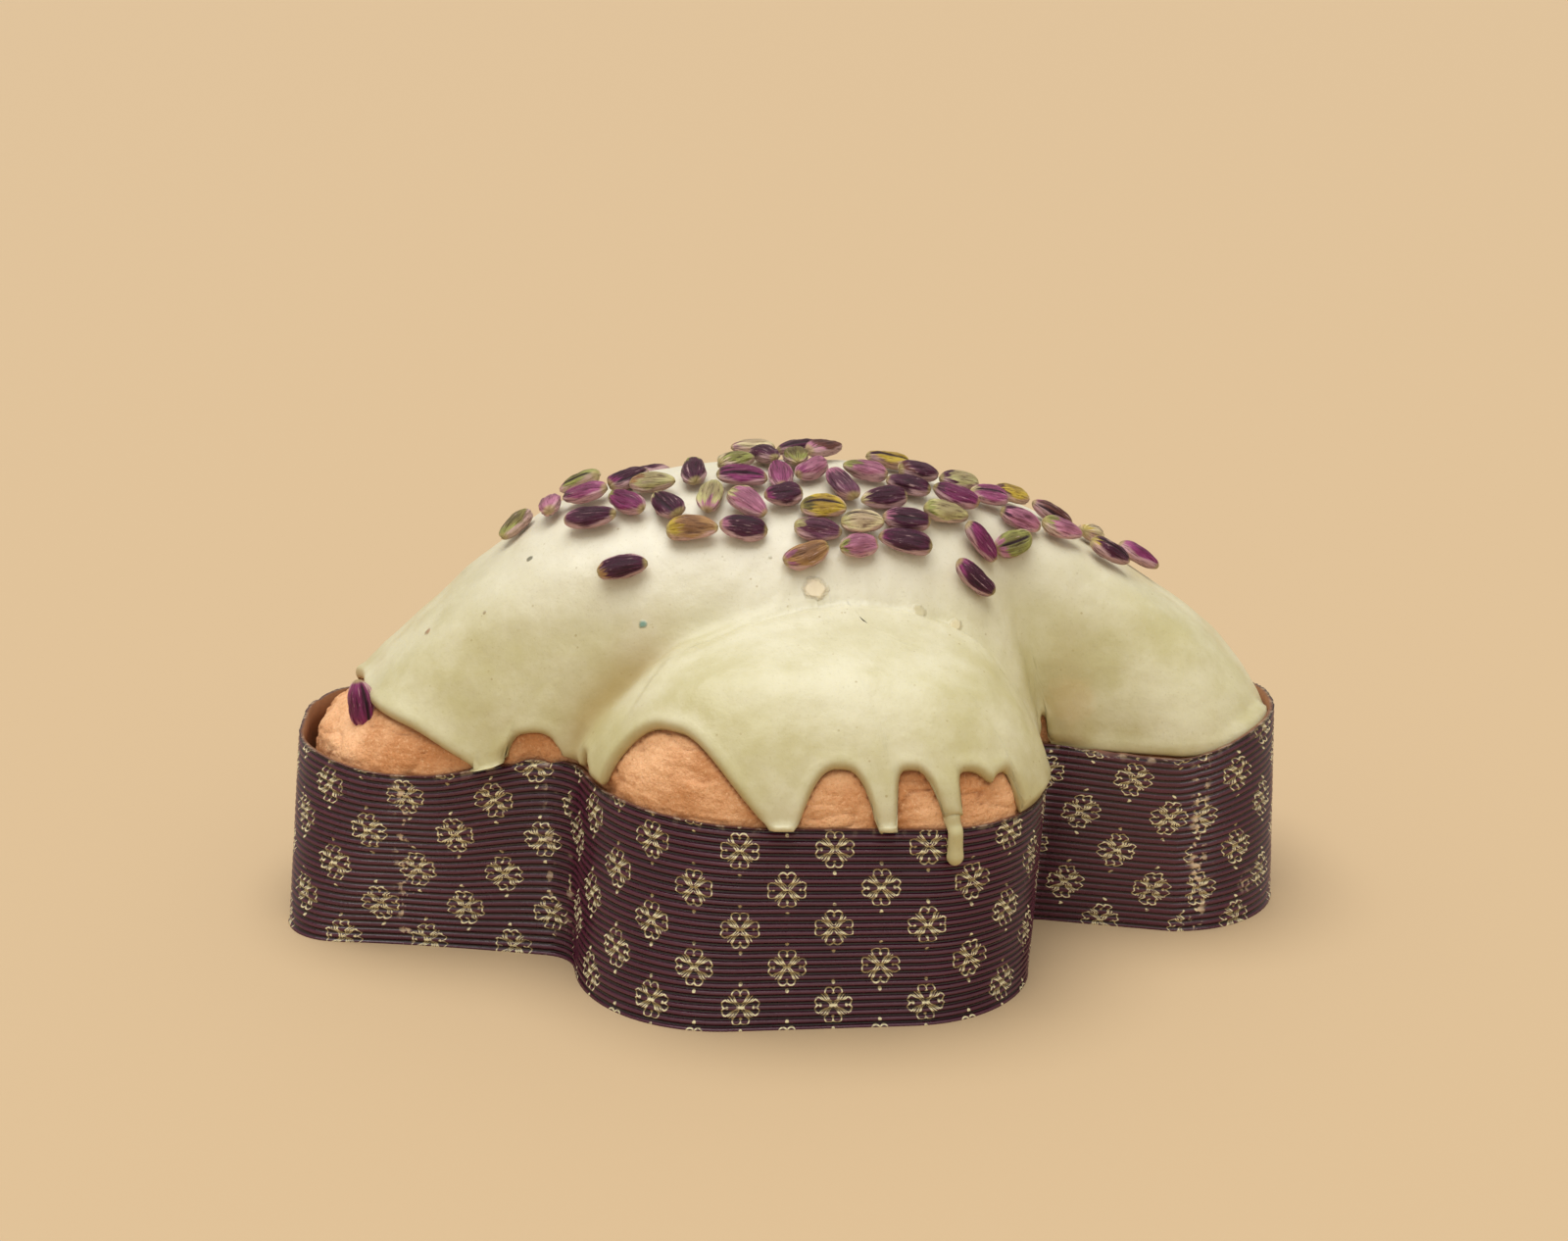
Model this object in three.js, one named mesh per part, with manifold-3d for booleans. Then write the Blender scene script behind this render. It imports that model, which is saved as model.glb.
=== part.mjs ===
// A colomba: a dove-shaped Easter cake in its corrugated paper case, coated with
// pistachio glaze and topped with shelled pistachios. Millimetres, +Z up, base on z = 0.
// The long log of the dove runs along X, head at -X and tail at +X; the wings lie along Y.
import * as THREE from 'three';
import Module from 'manifold-3d';

// ---------------------------------------------------------------- paper case
const HEAD_END = { ground: -154, rim: -149 };
const TAIL_END = { ground: 151.5, rim: 148.5 };
const HEAD_CORNER = { ground: 18, rim: 34 };
const TAIL_CORNER = 34;
const HEAD_HALF_WIDTH = { tip: 36, root: 52, tipX: -140, rootX: -66, taper: 1.3 };
const TAIL_HALF_WIDTH = { root: 33.5, flare: 46, rootX: 70, flareX: 114 };
const BODY_FLARE = { ground: 0.5, rim: 2, headExtra: 2.5, headFromX: -70, headToX: -110 };
const WING = {
  centreX: { ground: 0, rim: 3 },
  halfWidth: { ground: 66.5, rim: 67.5 },
  halfSpan: { ground: 102.5, rim: 103 },
  headCorner: { ground: 44, rim: 54 },
  tailCorner: { ground: 38, rim: 40 },
};
const NOTCH_BLEND = 9;
const RIM_HEIGHT = { ends: 56, wingRise: 4.5, wingTilt: 2.3, tiltSpan: 60, fromX: 112, toX: 72 };
// The paper stands above that height at its two ends.
const PAPER_RISE = [{ height: 7.5, fromX: 110, toX: 150 }, { height: 1.5, fromX: -125, toX: -147 }];
const PAPER = 1.5;
const FLOOR = 1.6;

// ---------------------------------------------------------------- cake
const CLEARANCE = 0.5;
const SHRINK = [{ gap: 4.5, fromX: -118, toX: -146 }, { gap: 2.9, fromX: 78, toX: 92 }];
const EDGE_RADIUS = 22;
const LOG_BASE = 57;
// Height of the long log's back along X, and of the wings' back along |Y|.
const LOG_BACK = [
  [-149, 64], [-137, 65.5], [-128, 69.5], [-121, 76], [-114, 83], [-106, 90.5], [-88, 106],
  [-65, 121.2], [-35, 130.4], [0, 132.4], [30, 130.4], [60, 122], [88, 108.5], [105, 98],
  [118, 88.5], [129, 81], [140, 75], [149, 70],
];
const LOG_HALF_WIDTH = [[-149, 38], [-100, 46], [-66, 54], [0, 54], [60, 48], [114, 48], [149, 40]];
const WING_BACK = [[0, 104], [30, 105], [45, 104], [60, 101], [80, 94], [95, 86], [105, 80]];
const LOG_ROUND = { drop: 0.5, power: 2.2 };
const WING_ROUND = { drop: 0.5, power: 2.4, centreX: 4, halfWidth: 66 };
const CREASE_BLEND = 5;

// ---------------------------------------------------------------- glaze
const GLAZE = { thickness: 2.8, gap: 0.45, lip: 0.5, rimClearance: 1.3, cutDepth: 2.5 };
const PAPER_CLEARANCE = 0.3;
// Windows of bare crust between the drips, as [start, peak, end, height, squareness up to
// the peak and after it]: places along the rim from the head's tip, by the front wing and back.
const BARE_WINDOWS = [
  [-38, 25, 80.5, 15, 3, 3], [90, 95, 108.5, 8, 5, 2.5], [118.5, 122, 126, 5, 3, 3],
  [134, 157, 187, 20, 3.6, 1.7], [194.5, 207, 216.6, 15, 2.4, 4], [221.9, 228.5, 234.7, 15, 4, 4],
  [239, 244.5, 256, 14, 4, 2.2], [246, 256, 260, 12, 2.2, 6], [317.6, 320.3, 324, 8, 2, 2],
  [452, 463, 478, 7, 3, 3], [503, 509, 515, 5, 2, 2], [566, 577, 586, 9, 3, 3],
  [592, 606, 617, 15, 3, 3], [622, 640, 660, 17, 2.5, 2.5], [665, 672, 679, 11, 4, 4],
  [683, 702, 716, 14, 2.5, 2.5], [742, 748, 754, 6, 2, 2], [760, 774, 790, 9, 3, 3],
];
// Drips that run over the rim and down the paper, as [place, half width, length].
const RUNS = [
  [86, 4.2, 2.5], [190.7, 3.4, 0.8], [219.2, 2.6, 1.2], [236.8, 2.2, 10.5], [326.6, 2.4, 2.3],
  [619.5, 2.8, 10], [662.5, 2.8, 3], [681, 2.6, 14], [757, 3, 5],
];
// Along the tail, between these places, the glaze goes down inside the paper.
const TUCK = { from: 329, to: 334, depth: 4 };

// ---------------------------------------------------------------- pistachios
const NUT = { width: 7.4, height: 6.4, sink: 0.35, spacing: 0.25, flatBottom: 0.75 };
// Shelled pistachios, as [x, y, heading in degrees, length], from head to tail.
const NUTS = [
  [-127.5, -17, -80, 16.5], [-80, 1, 40, 13.5], [-69, -4, -88, 14], [-61, 11, -35, 16],
  [-59, -7, -24, 15.5], [-58, -21, -16, 16.5], [-47, -6, 28, 13.5], [-41, -15, -21, 14.5],
  [-47, -19, -51, 14], [-36, -22, -65, 13.5], [-49, -38, 6, 15], [-29, -32, -3, 15],
  [-15, -32, -10, 14], [-28, -10, -90, 14], [-21, -21, -103, 14], [-13, -5, 33, 12.5],
  [-8, 9, -6, 13.5], [-5, -5, -67, 13.5], [-12, -17, -4, 15], [-6, -16, -87, 14],
  [-9, -24, -47, 13.5], [3, 10, 20, 13.5], [1, -5, -92, 12.5], [11, 7, 37, 13.5],
  [7, -13, 40, 11.5], [13, -17, -67, 15], [0, -25, 10, 11.5], [7, -25, -3, 13.5],
  [9, -32, -11, 14], [3, -38, 29, 14], [17, -29, 0, 12.5], [19, -34, 17, 11.5], [28, -31, -14, 16],
  [33, -27, -8, 14], [24, -22, 12, 14], [22, -13, -9, 13.5], [30, 0, 13, 14], [32, -17, -15, 13.5],
  [39, -9, 18, 13.5], [43, -23, 0, 14], [48, -17, -16, 14.5], [51, -9, 10, 12.5],
  [58, -10, 9, 12.5], [54, -27, -22, 14.5], [51, -38, -35, 14.5], [65, -19, 40, 12.5],
  [67, -15, -14, 13.5], [68, -3, 24, 13.5], [77, -3, -8, 14], [79, -13, 5, 14], [92, -1, 42, 11.5],
  [95, -12, -4, 14], [108, 8, -12, 14], [-40, 34, 15, 14], [-2, 38, -25, 14], [38, 33, 50, 13.5],
  [72, 28, -30, 14],
];
const SETTLING_STEPS = 60;

// ---------------------------------------------------------------- mesh fineness
const EVEN_COLUMNS = 104;
const RUN_COLUMNS = [-1.4, -0.85, 0, 0.85, 1.4];
const COLUMN_SPACING = 2.2;
const TOP_RING_SHARES = [1, 0.68, 0.36];
const TOP_RINGS = 2 + TOP_RING_SHARES.length;
const GLAZE_ROWS = [0, 0.04, 0.12, 0.26, 0.48, 0.74];
const CAKE_EDGE_ANGLES = [12, 28, 46, 68];
const NUT_RINGS = [-0.86, -0.42, 0.1, 0.66];
const NUT_SIDES = 8;
const OUTLINE_SAMPLES = 2400;
const PATH_SAMPLES = 60;

// ---------------------------------------------------------------- small helpers
const { clamp, lerp, degToRad } = THREE.MathUtils;
const smooth = (from, to, value) => {
  const t = clamp((value - from) / (to - from), 0, 1);
  return t * t * (3 - 2 * t);
};

/** The lesser of two heights or distances, with their meeting rounded over `blend`. */
function roundedMin(a, b, blend) {
  const t = clamp(0.5 + (0.5 * (b - a)) / blend, 0, 1);
  return lerp(b, a, t) - blend * t * (1 - t);
}

/** A smooth curve through [place, value] points, read at one place. */
function profile(points, place) {
  const last = points.length - 1;
  const x = clamp(place, points[0][0], points[last][0]);
  const i = Math.min(points.findIndex((point, k) => k < last && x <= points[k + 1][0]), last - 1);
  const slope = (k) => {
    const before = points[Math.max(k - 1, 0)];
    const after = points[Math.min(k + 1, last)];
    return (after[1] - before[1]) / (after[0] - before[0]);
  };
  const [x0, y0] = points[i];
  const [x1, y1] = points[i + 1];
  const span = x1 - x0;
  const t = (x - x0) / span;
  const start = (2 * t ** 3 - 3 * t ** 2 + 1) * y0 + (t ** 3 - 2 * t ** 2 + t) * span * slope(i);
  return start + (3 * t ** 2 - 2 * t ** 3) * y1 + (t ** 3 - t ** 2) * span * slope(i + 1);
}

/** Distance to a rectangle whose two ends have corners of their own radius. */
function distanceToBar(x, y, centreX, halfLength, halfWidth, lowCorner, highCorner) {
  const corner = x < centreX ? lowCorner : highCorner;
  const alongX = Math.abs(x - centreX) - (halfLength - corner);
  const alongY = Math.abs(y) - (halfWidth - corner);
  const outside = Math.hypot(Math.max(alongX, 0), Math.max(alongY, 0));
  return outside + Math.min(Math.max(alongX, alongY), 0) - corner;
}

// ---------------------------------------------------------------- plan of the dove
function bodyHalfWidth(x) {
  const { tip, root, tipX, rootX, taper } = HEAD_HALF_WIDTH;
  if (x < 0) return lerp(tip, root, clamp((x - tipX) / (rootX - tipX), 0, 1) ** taper);
  const tail = TAIL_HALF_WIDTH;
  return lerp(tail.root, tail.flare, clamp((x - tail.rootX) / (tail.flareX - tail.rootX), 0, 1));
}

/** Signed distance to the paper's outer face, at lift 0 on the ground to 1 at the rim. */
function planDistance(x, y, lift) {
  const at = ({ ground, rim }) => lerp(ground, rim, lift);
  const headFlare = BODY_FLARE.headExtra * smooth(BODY_FLARE.headFromX, BODY_FLARE.headToX, x);
  const halfWidth = bodyHalfWidth(x) + lerp(BODY_FLARE.ground, BODY_FLARE.rim + headFlare, lift);
  const middle = (at(HEAD_END) + at(TAIL_END)) / 2;
  const halfLength = (at(TAIL_END) - at(HEAD_END)) / 2;
  const body = distanceToBar(x, y, middle, halfLength, halfWidth, at(HEAD_CORNER), TAIL_CORNER);
  const wing = distanceToBar(x, y, at(WING.centreX), at(WING.halfWidth), at(WING.halfSpan),
    at(WING.headCorner), at(WING.tailCorner));
  return roundedMin(body, wing, NOTCH_BLEND);
}

function rimHeight(x) {
  const { ends, wingRise, wingTilt, tiltSpan, fromX, toX } = RIM_HEIGHT;
  const nearWing = smooth(fromX, toX, Math.abs(x));
  return ends + nearWing * (wingRise - wingTilt * clamp(x / tiltSpan, -1, 1));
}

const paperHeight = (x) => PAPER_RISE.reduce((height, rise) => (
  height + rise.height * smooth(rise.fromX, rise.toX, x)), rimHeight(x));

/** The point of the outline in one direction from the centre; inset is a function of x. */
function outlinePoint(angle, lift, inset) {
  let low = 0;
  let high = 220;
  for (let step = 0; step < 40; step += 1) {
    const reach = (low + high) / 2;
    const x = reach * Math.cos(angle);
    const y = reach * Math.sin(angle);
    if (planDistance(x, y, lift) < -inset(x)) low = reach;
    else high = reach;
  }
  return new THREE.Vector2(low * Math.cos(angle), low * Math.sin(angle));
}

/** How far the cake's side lies inside the paper's outer face: it shrank from both ends. */
const cakeInset = (x) => SHRINK.reduce((inset, { gap, fromX, toX }) => (
  inset + gap * smooth(fromX, toX, x)), PAPER + CLEARANCE);

/** Angles of outline points at given places along the rim, measured from the head's tip. */
function rimRuler() {
  const places = [0];
  const angles = [Math.PI];
  let last = outlinePoint(Math.PI, 1, () => PAPER);
  for (let k = 1; k <= OUTLINE_SAMPLES; k += 1) {
    const angle = Math.PI + (2 * Math.PI * k) / OUTLINE_SAMPLES;
    const point = outlinePoint(angle, 1, () => PAPER);
    places.push(places[k - 1] + point.distanceTo(last));
    angles.push(angle);
    last = point;
  }
  const length = places[OUTLINE_SAMPLES];
  const angleAt = (place) => {
    const wanted = ((place % length) + length) % length;
    const k = places.findIndex((value) => value > wanted);
    return lerp(angles[k - 1], angles[k], (wanted - places[k - 1]) / (places[k] - places[k - 1]));
  };
  return { length, angleAt };
}
const RULER = rimRuler();

/** The dove's columns round the rim: even ones, with those near a run moved to its edges. */
function columnPlaces() {
  const runPlaces = RUNS.flatMap(([centre, halfWidth]) => (
    RUN_COLUMNS.map((share) => centre + share * halfWidth)));
  const even = Array.from({ length: EVEN_COLUMNS }, (_, k) => (RULER.length * k) / EVEN_COLUMNS);
  const apart = (place) => runPlaces.every((other) => Math.abs(place - other) > COLUMN_SPACING);
  return [...even.filter(apart), ...runPlaces].sort((a, b) => a - b);
}
const PLACES = columnPlaces();
const ANGLES = PLACES.map(RULER.angleAt);

// ---------------------------------------------------------------- closed lofts
/** Two triangles for four corners, split along the shorter diagonal. */
function quad(points, [a, b, c, d]) {
  const short = points[a].distanceTo(points[c]) < points[b].distanceTo(points[d]);
  return short ? [[a, b, c], [a, c, d]] : [[a, b, d], [b, c, d]];
}

/** One closed body from rings of equally many points, with a centre point at either end. */
function loft(startCentre, rings, endCentre) {
  const count = rings[0].length;
  const points = [startCentre, ...rings.flat(), endCentre];
  const at = (ring, k) => 1 + ring * count + (k % count);
  const faces = [];
  for (let k = 0; k < count; k += 1) {
    faces.push([0, at(0, k + 1), at(0, k)]);
    for (let ring = 0; ring + 1 < rings.length; ring += 1) {
      faces.push(...quad(points, [at(ring, k), at(ring, k + 1), at(ring + 1, k + 1), at(ring + 1, k)]));
    }
    faces.push([at(rings.length - 1, k), at(rings.length - 1, k + 1), points.length - 1]);
  }
  const geometry = new THREE.BufferGeometry().setFromPoints(points);
  geometry.setIndex(faces.flat());
  geometry.computeVertexNormals();
  return geometry;
}

const wasm = await Module();
wasm.setup();

function solidOf(geometry) {
  const vertProperties = new Float32Array(geometry.getAttribute('position').array);
  const triVerts = new Uint32Array(geometry.getIndex().array);
  return new wasm.Manifold(new wasm.Mesh({ numProp: 3, vertProperties, triVerts }));
}

/** One geometry less others: the largest body that is left. */
function cut(geometry, cutters) {
  const solid = cutters.reduce((left, cutter) => left.subtract(solidOf(cutter)), solidOf(geometry));
  const [body] = solid.decompose().sort((p, q) => q.volume() - p.volume());
  const mesh = body.getMesh();
  const result = new THREE.BufferGeometry();
  result.setAttribute('position', new THREE.BufferAttribute(new Float32Array(mesh.vertProperties), 3));
  result.setIndex(new THREE.BufferAttribute(new Uint32Array(mesh.triVerts), 1));
  result.computeVertexNormals();
  return result;
}

// ---------------------------------------------------------------- paper case
/** A ring of the case; at Infinity it follows the rim. A negative inset lies outside it. */
function caseRing(height, inset) {
  return ANGLES.map((angle) => {
    const rimPoint = outlinePoint(angle, 1, () => inset);
    const lift = clamp(height / paperHeight(rimPoint.x), 0, 1);
    const point = outlinePoint(angle, lift, () => inset);
    return new THREE.Vector3(point.x, point.y, Math.min(height, paperHeight(rimPoint.x)));
  });
}

function caseGeometry() {
  return loft(
    new THREE.Vector3(0, 0, 0),
    [
      caseRing(0, 0), caseRing(Infinity, 0), caseRing(Infinity, PAPER), caseRing(FLOOR, PAPER),
    ],
    new THREE.Vector3(0, 0, FLOOR),
  );
}

// ---------------------------------------------------------------- cake
/** Height of the crossed logs before their sides round down to the rim. */
function logHeight(x, y) {
  const across = Math.min(Math.abs(y) / profile(LOG_HALF_WIDTH, x), 1.6) ** LOG_ROUND.power;
  const longLog = LOG_BASE + (profile(LOG_BACK, x) - LOG_BASE) * (1 - LOG_ROUND.drop * across);
  const u = Math.abs(x - WING_ROUND.centreX) / WING_ROUND.halfWidth;
  const wingFall = WING_ROUND.drop * Math.min(u, 1.6) ** WING_ROUND.power;
  const wingLog = LOG_BASE + (profile(WING_BACK, Math.abs(y)) - LOG_BASE) * (1 - wingFall);
  return -roundedMin(-longLog, -wingLog, CREASE_BLEND);
}

function cakeTop(x, y) {
  const inside = clamp((-planDistance(x, y, 1) - cakeInset(x)) / EDGE_RADIUS, 0, 1);
  const rim = rimHeight(x);
  return rim + (logHeight(x, y) - rim) * Math.sqrt(1 - (1 - inside) ** 2);
}

function surfaceNormal(x, y) {
  const step = 1.5;
  const slopeX = (cakeTop(x + step, y) - cakeTop(x - step, y)) / (2 * step);
  const slopeY = (cakeTop(x, y + step) - cakeTop(x, y - step)) / (2 * step);
  return new THREE.Vector3(-slopeX, -slopeY, 1).normalize();
}

/** Where the ring nearest the middle lies for a rim point: a thin cross within the dove. */
function middleRingPoint({ x, y }) {
  const wingShare = Math.abs(y) / WING.halfSpan.rim;
  const bodyShare = Math.abs(x) / TAIL_END.rim;
  const wing = smooth(0.3, 0.6, wingShare / (wingShare + bodyShare));
  return new THREE.Vector2(x * lerp(0.72, 0.3, wing), y * lerp(0.25, 0.62, wing));
}

const onCake = (point) => new THREE.Vector3(point.x, point.y, cakeTop(point.x, point.y));

/** The point at a given distance in from the cake's side, on the way to the middle ring. */
function pointInside(rimPoint, distance) {
  const middle = middleRingPoint(rimPoint);
  let low = 0;
  let high = 1;
  for (let step = 0; step < 30; step += 1) {
    const point = rimPoint.clone().lerp(middle, (low + high) / 2);
    const reached = -planDistance(point.x, point.y, 1) - cakeInset(point.x);
    if (reached < distance) low = (low + high) / 2;
    else high = (low + high) / 2;
  }
  return rimPoint.clone().lerp(middle, low);
}

/** The rings over the top, inside the rounded edge: cake and glaze share them. */
function topRings() {
  const rimPoints = ANGLES.map((angle) => outlinePoint(angle, 1, cakeInset));
  const shoulder = rimPoints.map((rim) => pointInside(rim, EDGE_RADIUS));
  const middle = rimPoints.map(middleRingPoint);
  const between = shoulder.map((point, k) => point.clone().lerp(middle[k], 0.5));
  const inner = TOP_RING_SHARES.map((share) => (
    middle.map((point) => point.clone().multiplyScalar(share))));
  return [shoulder, between, ...inner].map((ring) => ring.map(onCake));
}

function cakeRings() {
  const bottom = FLOOR + CLEARANCE;
  const sideRing = (height) => ANGLES.map((angle) => {
    const rim = outlinePoint(angle, 1, cakeInset);
    const lift = Math.min(height / rimHeight(rim.x), 1);
    const point = outlinePoint(angle, lift, (x) => lerp(PAPER + CLEARANCE, cakeInset(x), lift));
    return new THREE.Vector3(point.x, point.y, Math.min(height, rimHeight(rim.x)));
  });
  const rimPoints = ANGLES.map((angle) => outlinePoint(angle, 1, cakeInset));
  const edgeRings = CAKE_EDGE_ANGLES.map((angle) => rimPoints.map((rim) => (
    onCake(pointInside(rim, EDGE_RADIUS * (1 - Math.cos(degToRad(angle))))))));
  return [sideRing(bottom), sideRing(Infinity), ...edgeRings, ...topRings()];
}

function cakeGeometry() {
  return loft(
    new THREE.Vector3(0, 0, FLOOR + CLEARANCE),
    cakeRings(),
    onCake(new THREE.Vector2(0, 0)),
  );
}

// ---------------------------------------------------------------- glaze
/** 1 at places where the glaze goes down inside the paper, 0 where it lies over the rim. */
const tucked = (place) => smooth(TUCK.from, TUCK.to, place)
  * smooth(RULER.length - TUCK.from, RULER.length - TUCK.to, place);

/** How far the glaze's edge stays above the rim at a place, or below it where a drip runs. */
function bareHeight(place) {
  let bare = lerp(GLAZE.rimClearance, -TUCK.depth, tucked(place));
  for (const [start, peak, end, height, rising, falling] of BARE_WINDOWS) {
    for (const turn of [0, RULER.length]) {
      const along = place - turn - peak;
      const u = Math.abs(along) / (along < 0 ? peak - start : end - peak);
      bare = Math.max(bare, height * (1 - u ** (along < 0 ? rising : falling)));
    }
  }
  for (const [centre, halfWidth, length] of RUNS) {
    const u = Math.abs(place - centre) / halfWidth;
    const rounding = 0.8 * halfWidth * (1 - Math.sqrt(1 - Math.min(u, 1) ** 2));
    if (u < 1.4) bare = Math.min(bare, lerp(rounding - length, bare, smooth(0.85, 1.4, u)));
  }
  return bare;
}

/** The way of one column: up the paper, outside it or inside, and on to the shoulder. */
function glazePath(place) {
  const angle = RULER.angleAt(place);
  const tuck = tucked(place);
  const rim = outlinePoint(angle, 1, cakeInset);
  const outer = outlinePoint(angle, 1, () => -PAPER_CLEARANCE).lerp(rim, tuck);
  const low = outlinePoint(angle, 0.5, () => -PAPER_CLEARANCE).lerp(
    outlinePoint(angle, 0.5, (x) => lerp(PAPER + CLEARANCE, cakeInset(x), 0.5)), tuck);
  const height = rimHeight(outer.x);
  const points = [
    new THREE.Vector3(low.x, low.y, height / 2),
    new THREE.Vector3(outer.x, outer.y, height + PAPER_CLEARANCE * (1 - tuck)),
  ];
  for (let k = 1; k <= PATH_SAMPLES; k += 1) {
    const inside = EDGE_RADIUS * (k / PATH_SAMPLES) ** 2;
    const point = onCake(pointInside(rim, inside));
    if (point.z > height + GLAZE.rimClearance * (1 - tuck)) points.push(point);
  }
  const lengths = [0];
  for (let k = 1; k < points.length; k += 1) {
    lengths.push(lengths[k - 1] + points[k].distanceTo(points[k - 1]));
  }
  return { points, lengths, total: lengths[points.length - 1], rimHeight: height };
}

function pathPoint({ points, lengths }, length) {
  const k = Math.max(lengths.findIndex((value) => value >= length - 1e-6), 1);
  const share = (length - lengths[k - 1]) / (lengths[k] - lengths[k - 1]);
  return points[k - 1].clone().lerp(points[k], clamp(share, 0, 1));
}

/** The length along a column's path at which the glaze's edge lies. */
function edgeLength(path, bare) {
  const wanted = path.rimHeight + bare;
  const k = path.points.findIndex((point) => point.z >= wanted);
  const low = path.points[k - 1];
  const share = (wanted - low.z) / (path.points[k].z - low.z);
  return lerp(path.lengths[k - 1], path.lengths[k], share);
}

/** The glaze's rings on the cake's own surface, from its edge to the middle. */
function glazeRows() {
  const columns = PLACES.map((place) => {
    const path = glazePath(place);
    const edge = edgeLength(path, bareHeight(place));
    return GLAZE_ROWS.map((row) => pathPoint(path, lerp(edge, path.total, row)));
  });
  return [...GLAZE_ROWS.map((_, row) => columns.map((column) => column[row])), ...topRings()];
}

/** Out of the cake's surface above its rim, and straight out of the paper below that. */
function outwardNormal({ x, y, z }) {
  if (z > rimHeight(x) + GLAZE.rimClearance) return surfaceNormal(x, y);
  const step = 0.5;
  const slopeX = planDistance(x + step, y, 1) - planDistance(x - step, y, 1);
  const slopeY = planDistance(x, y + step, 1) - planDistance(x, y - step, 1);
  return new THREE.Vector3(slopeX, slopeY, 0).normalize();
}

/** A ring moved out along the normals, or in where the distance is negative. */
const raised = (ring, distance) => ring.map((point) => (
  outwardNormal(point).multiplyScalar(distance).add(point)));

/** Cake and case, each a little larger, so that cutting with them leaves a gap. */
function glazeCutters() {
  const rows = cakeRings();
  const { gap } = GLAZE;
  const edgeRows = rows.length - TOP_RINGS;
  const up = new THREE.Vector3(0, 0, gap * 1.2);
  const centre = onCake(new THREE.Vector2(0, 0));
  const cake = loft(
    new THREE.Vector3(0, 0, FLOOR),
    rows.map((row, k) => (
      k < edgeRows ? raised(row, gap) : row.map((point) => point.clone().add(up)))),
    centre.clone().add(up),
  );
  const overRim = (inset) => caseRing(Infinity, inset)
    .map((point) => point.setZ(point.z + PAPER_CLEARANCE));
  const inside = PAPER + 0.1;
  const paper = loft(
    new THREE.Vector3(0, 0, 0),
    [caseRing(0, -PAPER_CLEARANCE), overRim(-PAPER_CLEARANCE), overRim(inside), caseRing(FLOOR, inside)],
    new THREE.Vector3(0, 0, FLOOR),
  );
  return [cake, paper];
}

function glazeGeometry() {
  const rows = glazeRows();
  const { gap, thickness, lip, cutDepth } = GLAZE;
  const centre = onCake(new THREE.Vector2(0, 0));
  const inner = rows.map((row) => raised(row, -cutDepth)).reverse();
  const outer = rows.map((row, k) => raised(row, gap + thickness * (k === 0 ? lip : 1)));
  const thick = loft(
    centre.clone().setZ(centre.z - cutDepth),
    [...inner, ...outer],
    centre.clone().setZ(centre.z + gap + thickness),
  );
  return cut(thick, glazeCutters());
}

// ---------------------------------------------------------------- pistachios
const glazeTop = (x, y) => cakeTop(x, y) + (GLAZE.gap + GLAZE.thickness) / surfaceNormal(x, y).z;

/** A nut's axes: along its heading on the glaze, across it, and out of the glaze. */
function nutAxes({ x, y, heading }) {
  const up = surfaceNormal(x, y);
  const along = new THREE.Vector3(Math.cos(degToRad(heading)), Math.sin(degToRad(heading)), 0);
  along.addScaledVector(up, -along.dot(up)).normalize();
  const across = up.clone().cross(along);
  return { along, across, up };
}

function nutCentre({ x, y }) {
  return new THREE.Vector3(x, y, glazeTop(x, y)).addScaledVector(
    surfaceNormal(x, y), (NUT.height * NUT.flatBottom) / 2);
}

/** Nearest points of two nuts' middle lines, by halving steps from their centres. */
function nearestOffset(a, b) {
  const reach = (nut) => (nut.length - NUT.width) / 2;
  let s = 0;
  let t = 0;
  const offset = () => b.centre.clone().addScaledVector(b.axes.along, t)
    .sub(a.centre).addScaledVector(a.axes.along, -s);
  for (let pass = 0; pass < 6; pass += 1) {
    s = clamp(s + offset().dot(a.axes.along), -reach(a), reach(a));
    t = clamp(t - offset().dot(b.axes.along), -reach(b), reach(b));
  }
  return offset();
}

/** Moves nuts that would overlap apart over the glaze, a little at a time. */
function settledNuts() {
  const nuts = NUTS.map(([x, y, heading, length]) => ({ x, y, heading, length }));
  const refresh = (nut) => Object.assign(nut, { axes: nutAxes(nut), centre: nutCentre(nut) });
  nuts.forEach(refresh);
  for (let step = 0; step < SETTLING_STEPS; step += 1) {
    for (let i = 0; i < nuts.length; i += 1) {
      for (let j = i + 1; j < nuts.length; j += 1) {
        if (nuts[i].centre.distanceTo(nuts[j].centre) > 20) continue;
        const offset = nearestOffset(nuts[i], nuts[j]);
        const overlap = NUT.width + NUT.spacing - offset.length();
        if (overlap <= 0) continue;
        offset.setZ(0).normalize().multiplyScalar(overlap * 0.55);
        nuts[i].x -= offset.x;
        nuts[i].y -= offset.y;
        nuts[j].x += offset.x;
        nuts[j].y += offset.y;
        refresh(nuts[i]);
        refresh(nuts[j]);
      }
    }
  }
  return nuts;
}

/** A plump seed with blunt ends, a little flat below. */
function nutGeometry(nut, lift) {
  const { along, across, up } = nut.axes;
  const base = nut.centre.clone().addScaledVector(up, lift);
  const pointAt = (share, side) => {
    const girth = (1 - Math.abs(share) ** 2.6) ** 0.5;
    const angle = (2 * Math.PI * side) / NUT_SIDES;
    const rise = Math.sin(angle) * (Math.sin(angle) < 0 ? NUT.flatBottom : 1);
    return base.clone()
      .addScaledVector(along, (share * nut.length) / 2)
      .addScaledVector(across, (Math.cos(angle) * girth * NUT.width) / 2)
      .addScaledVector(up, (rise * girth * NUT.height) / 2);
  };
  const ring = (share) => Array.from({ length: NUT_SIDES }, (_, side) => pointAt(share, side));
  return loft(pointAt(-1, 0), NUT_RINGS.map(ring), pointAt(1, 0));
}

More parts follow.
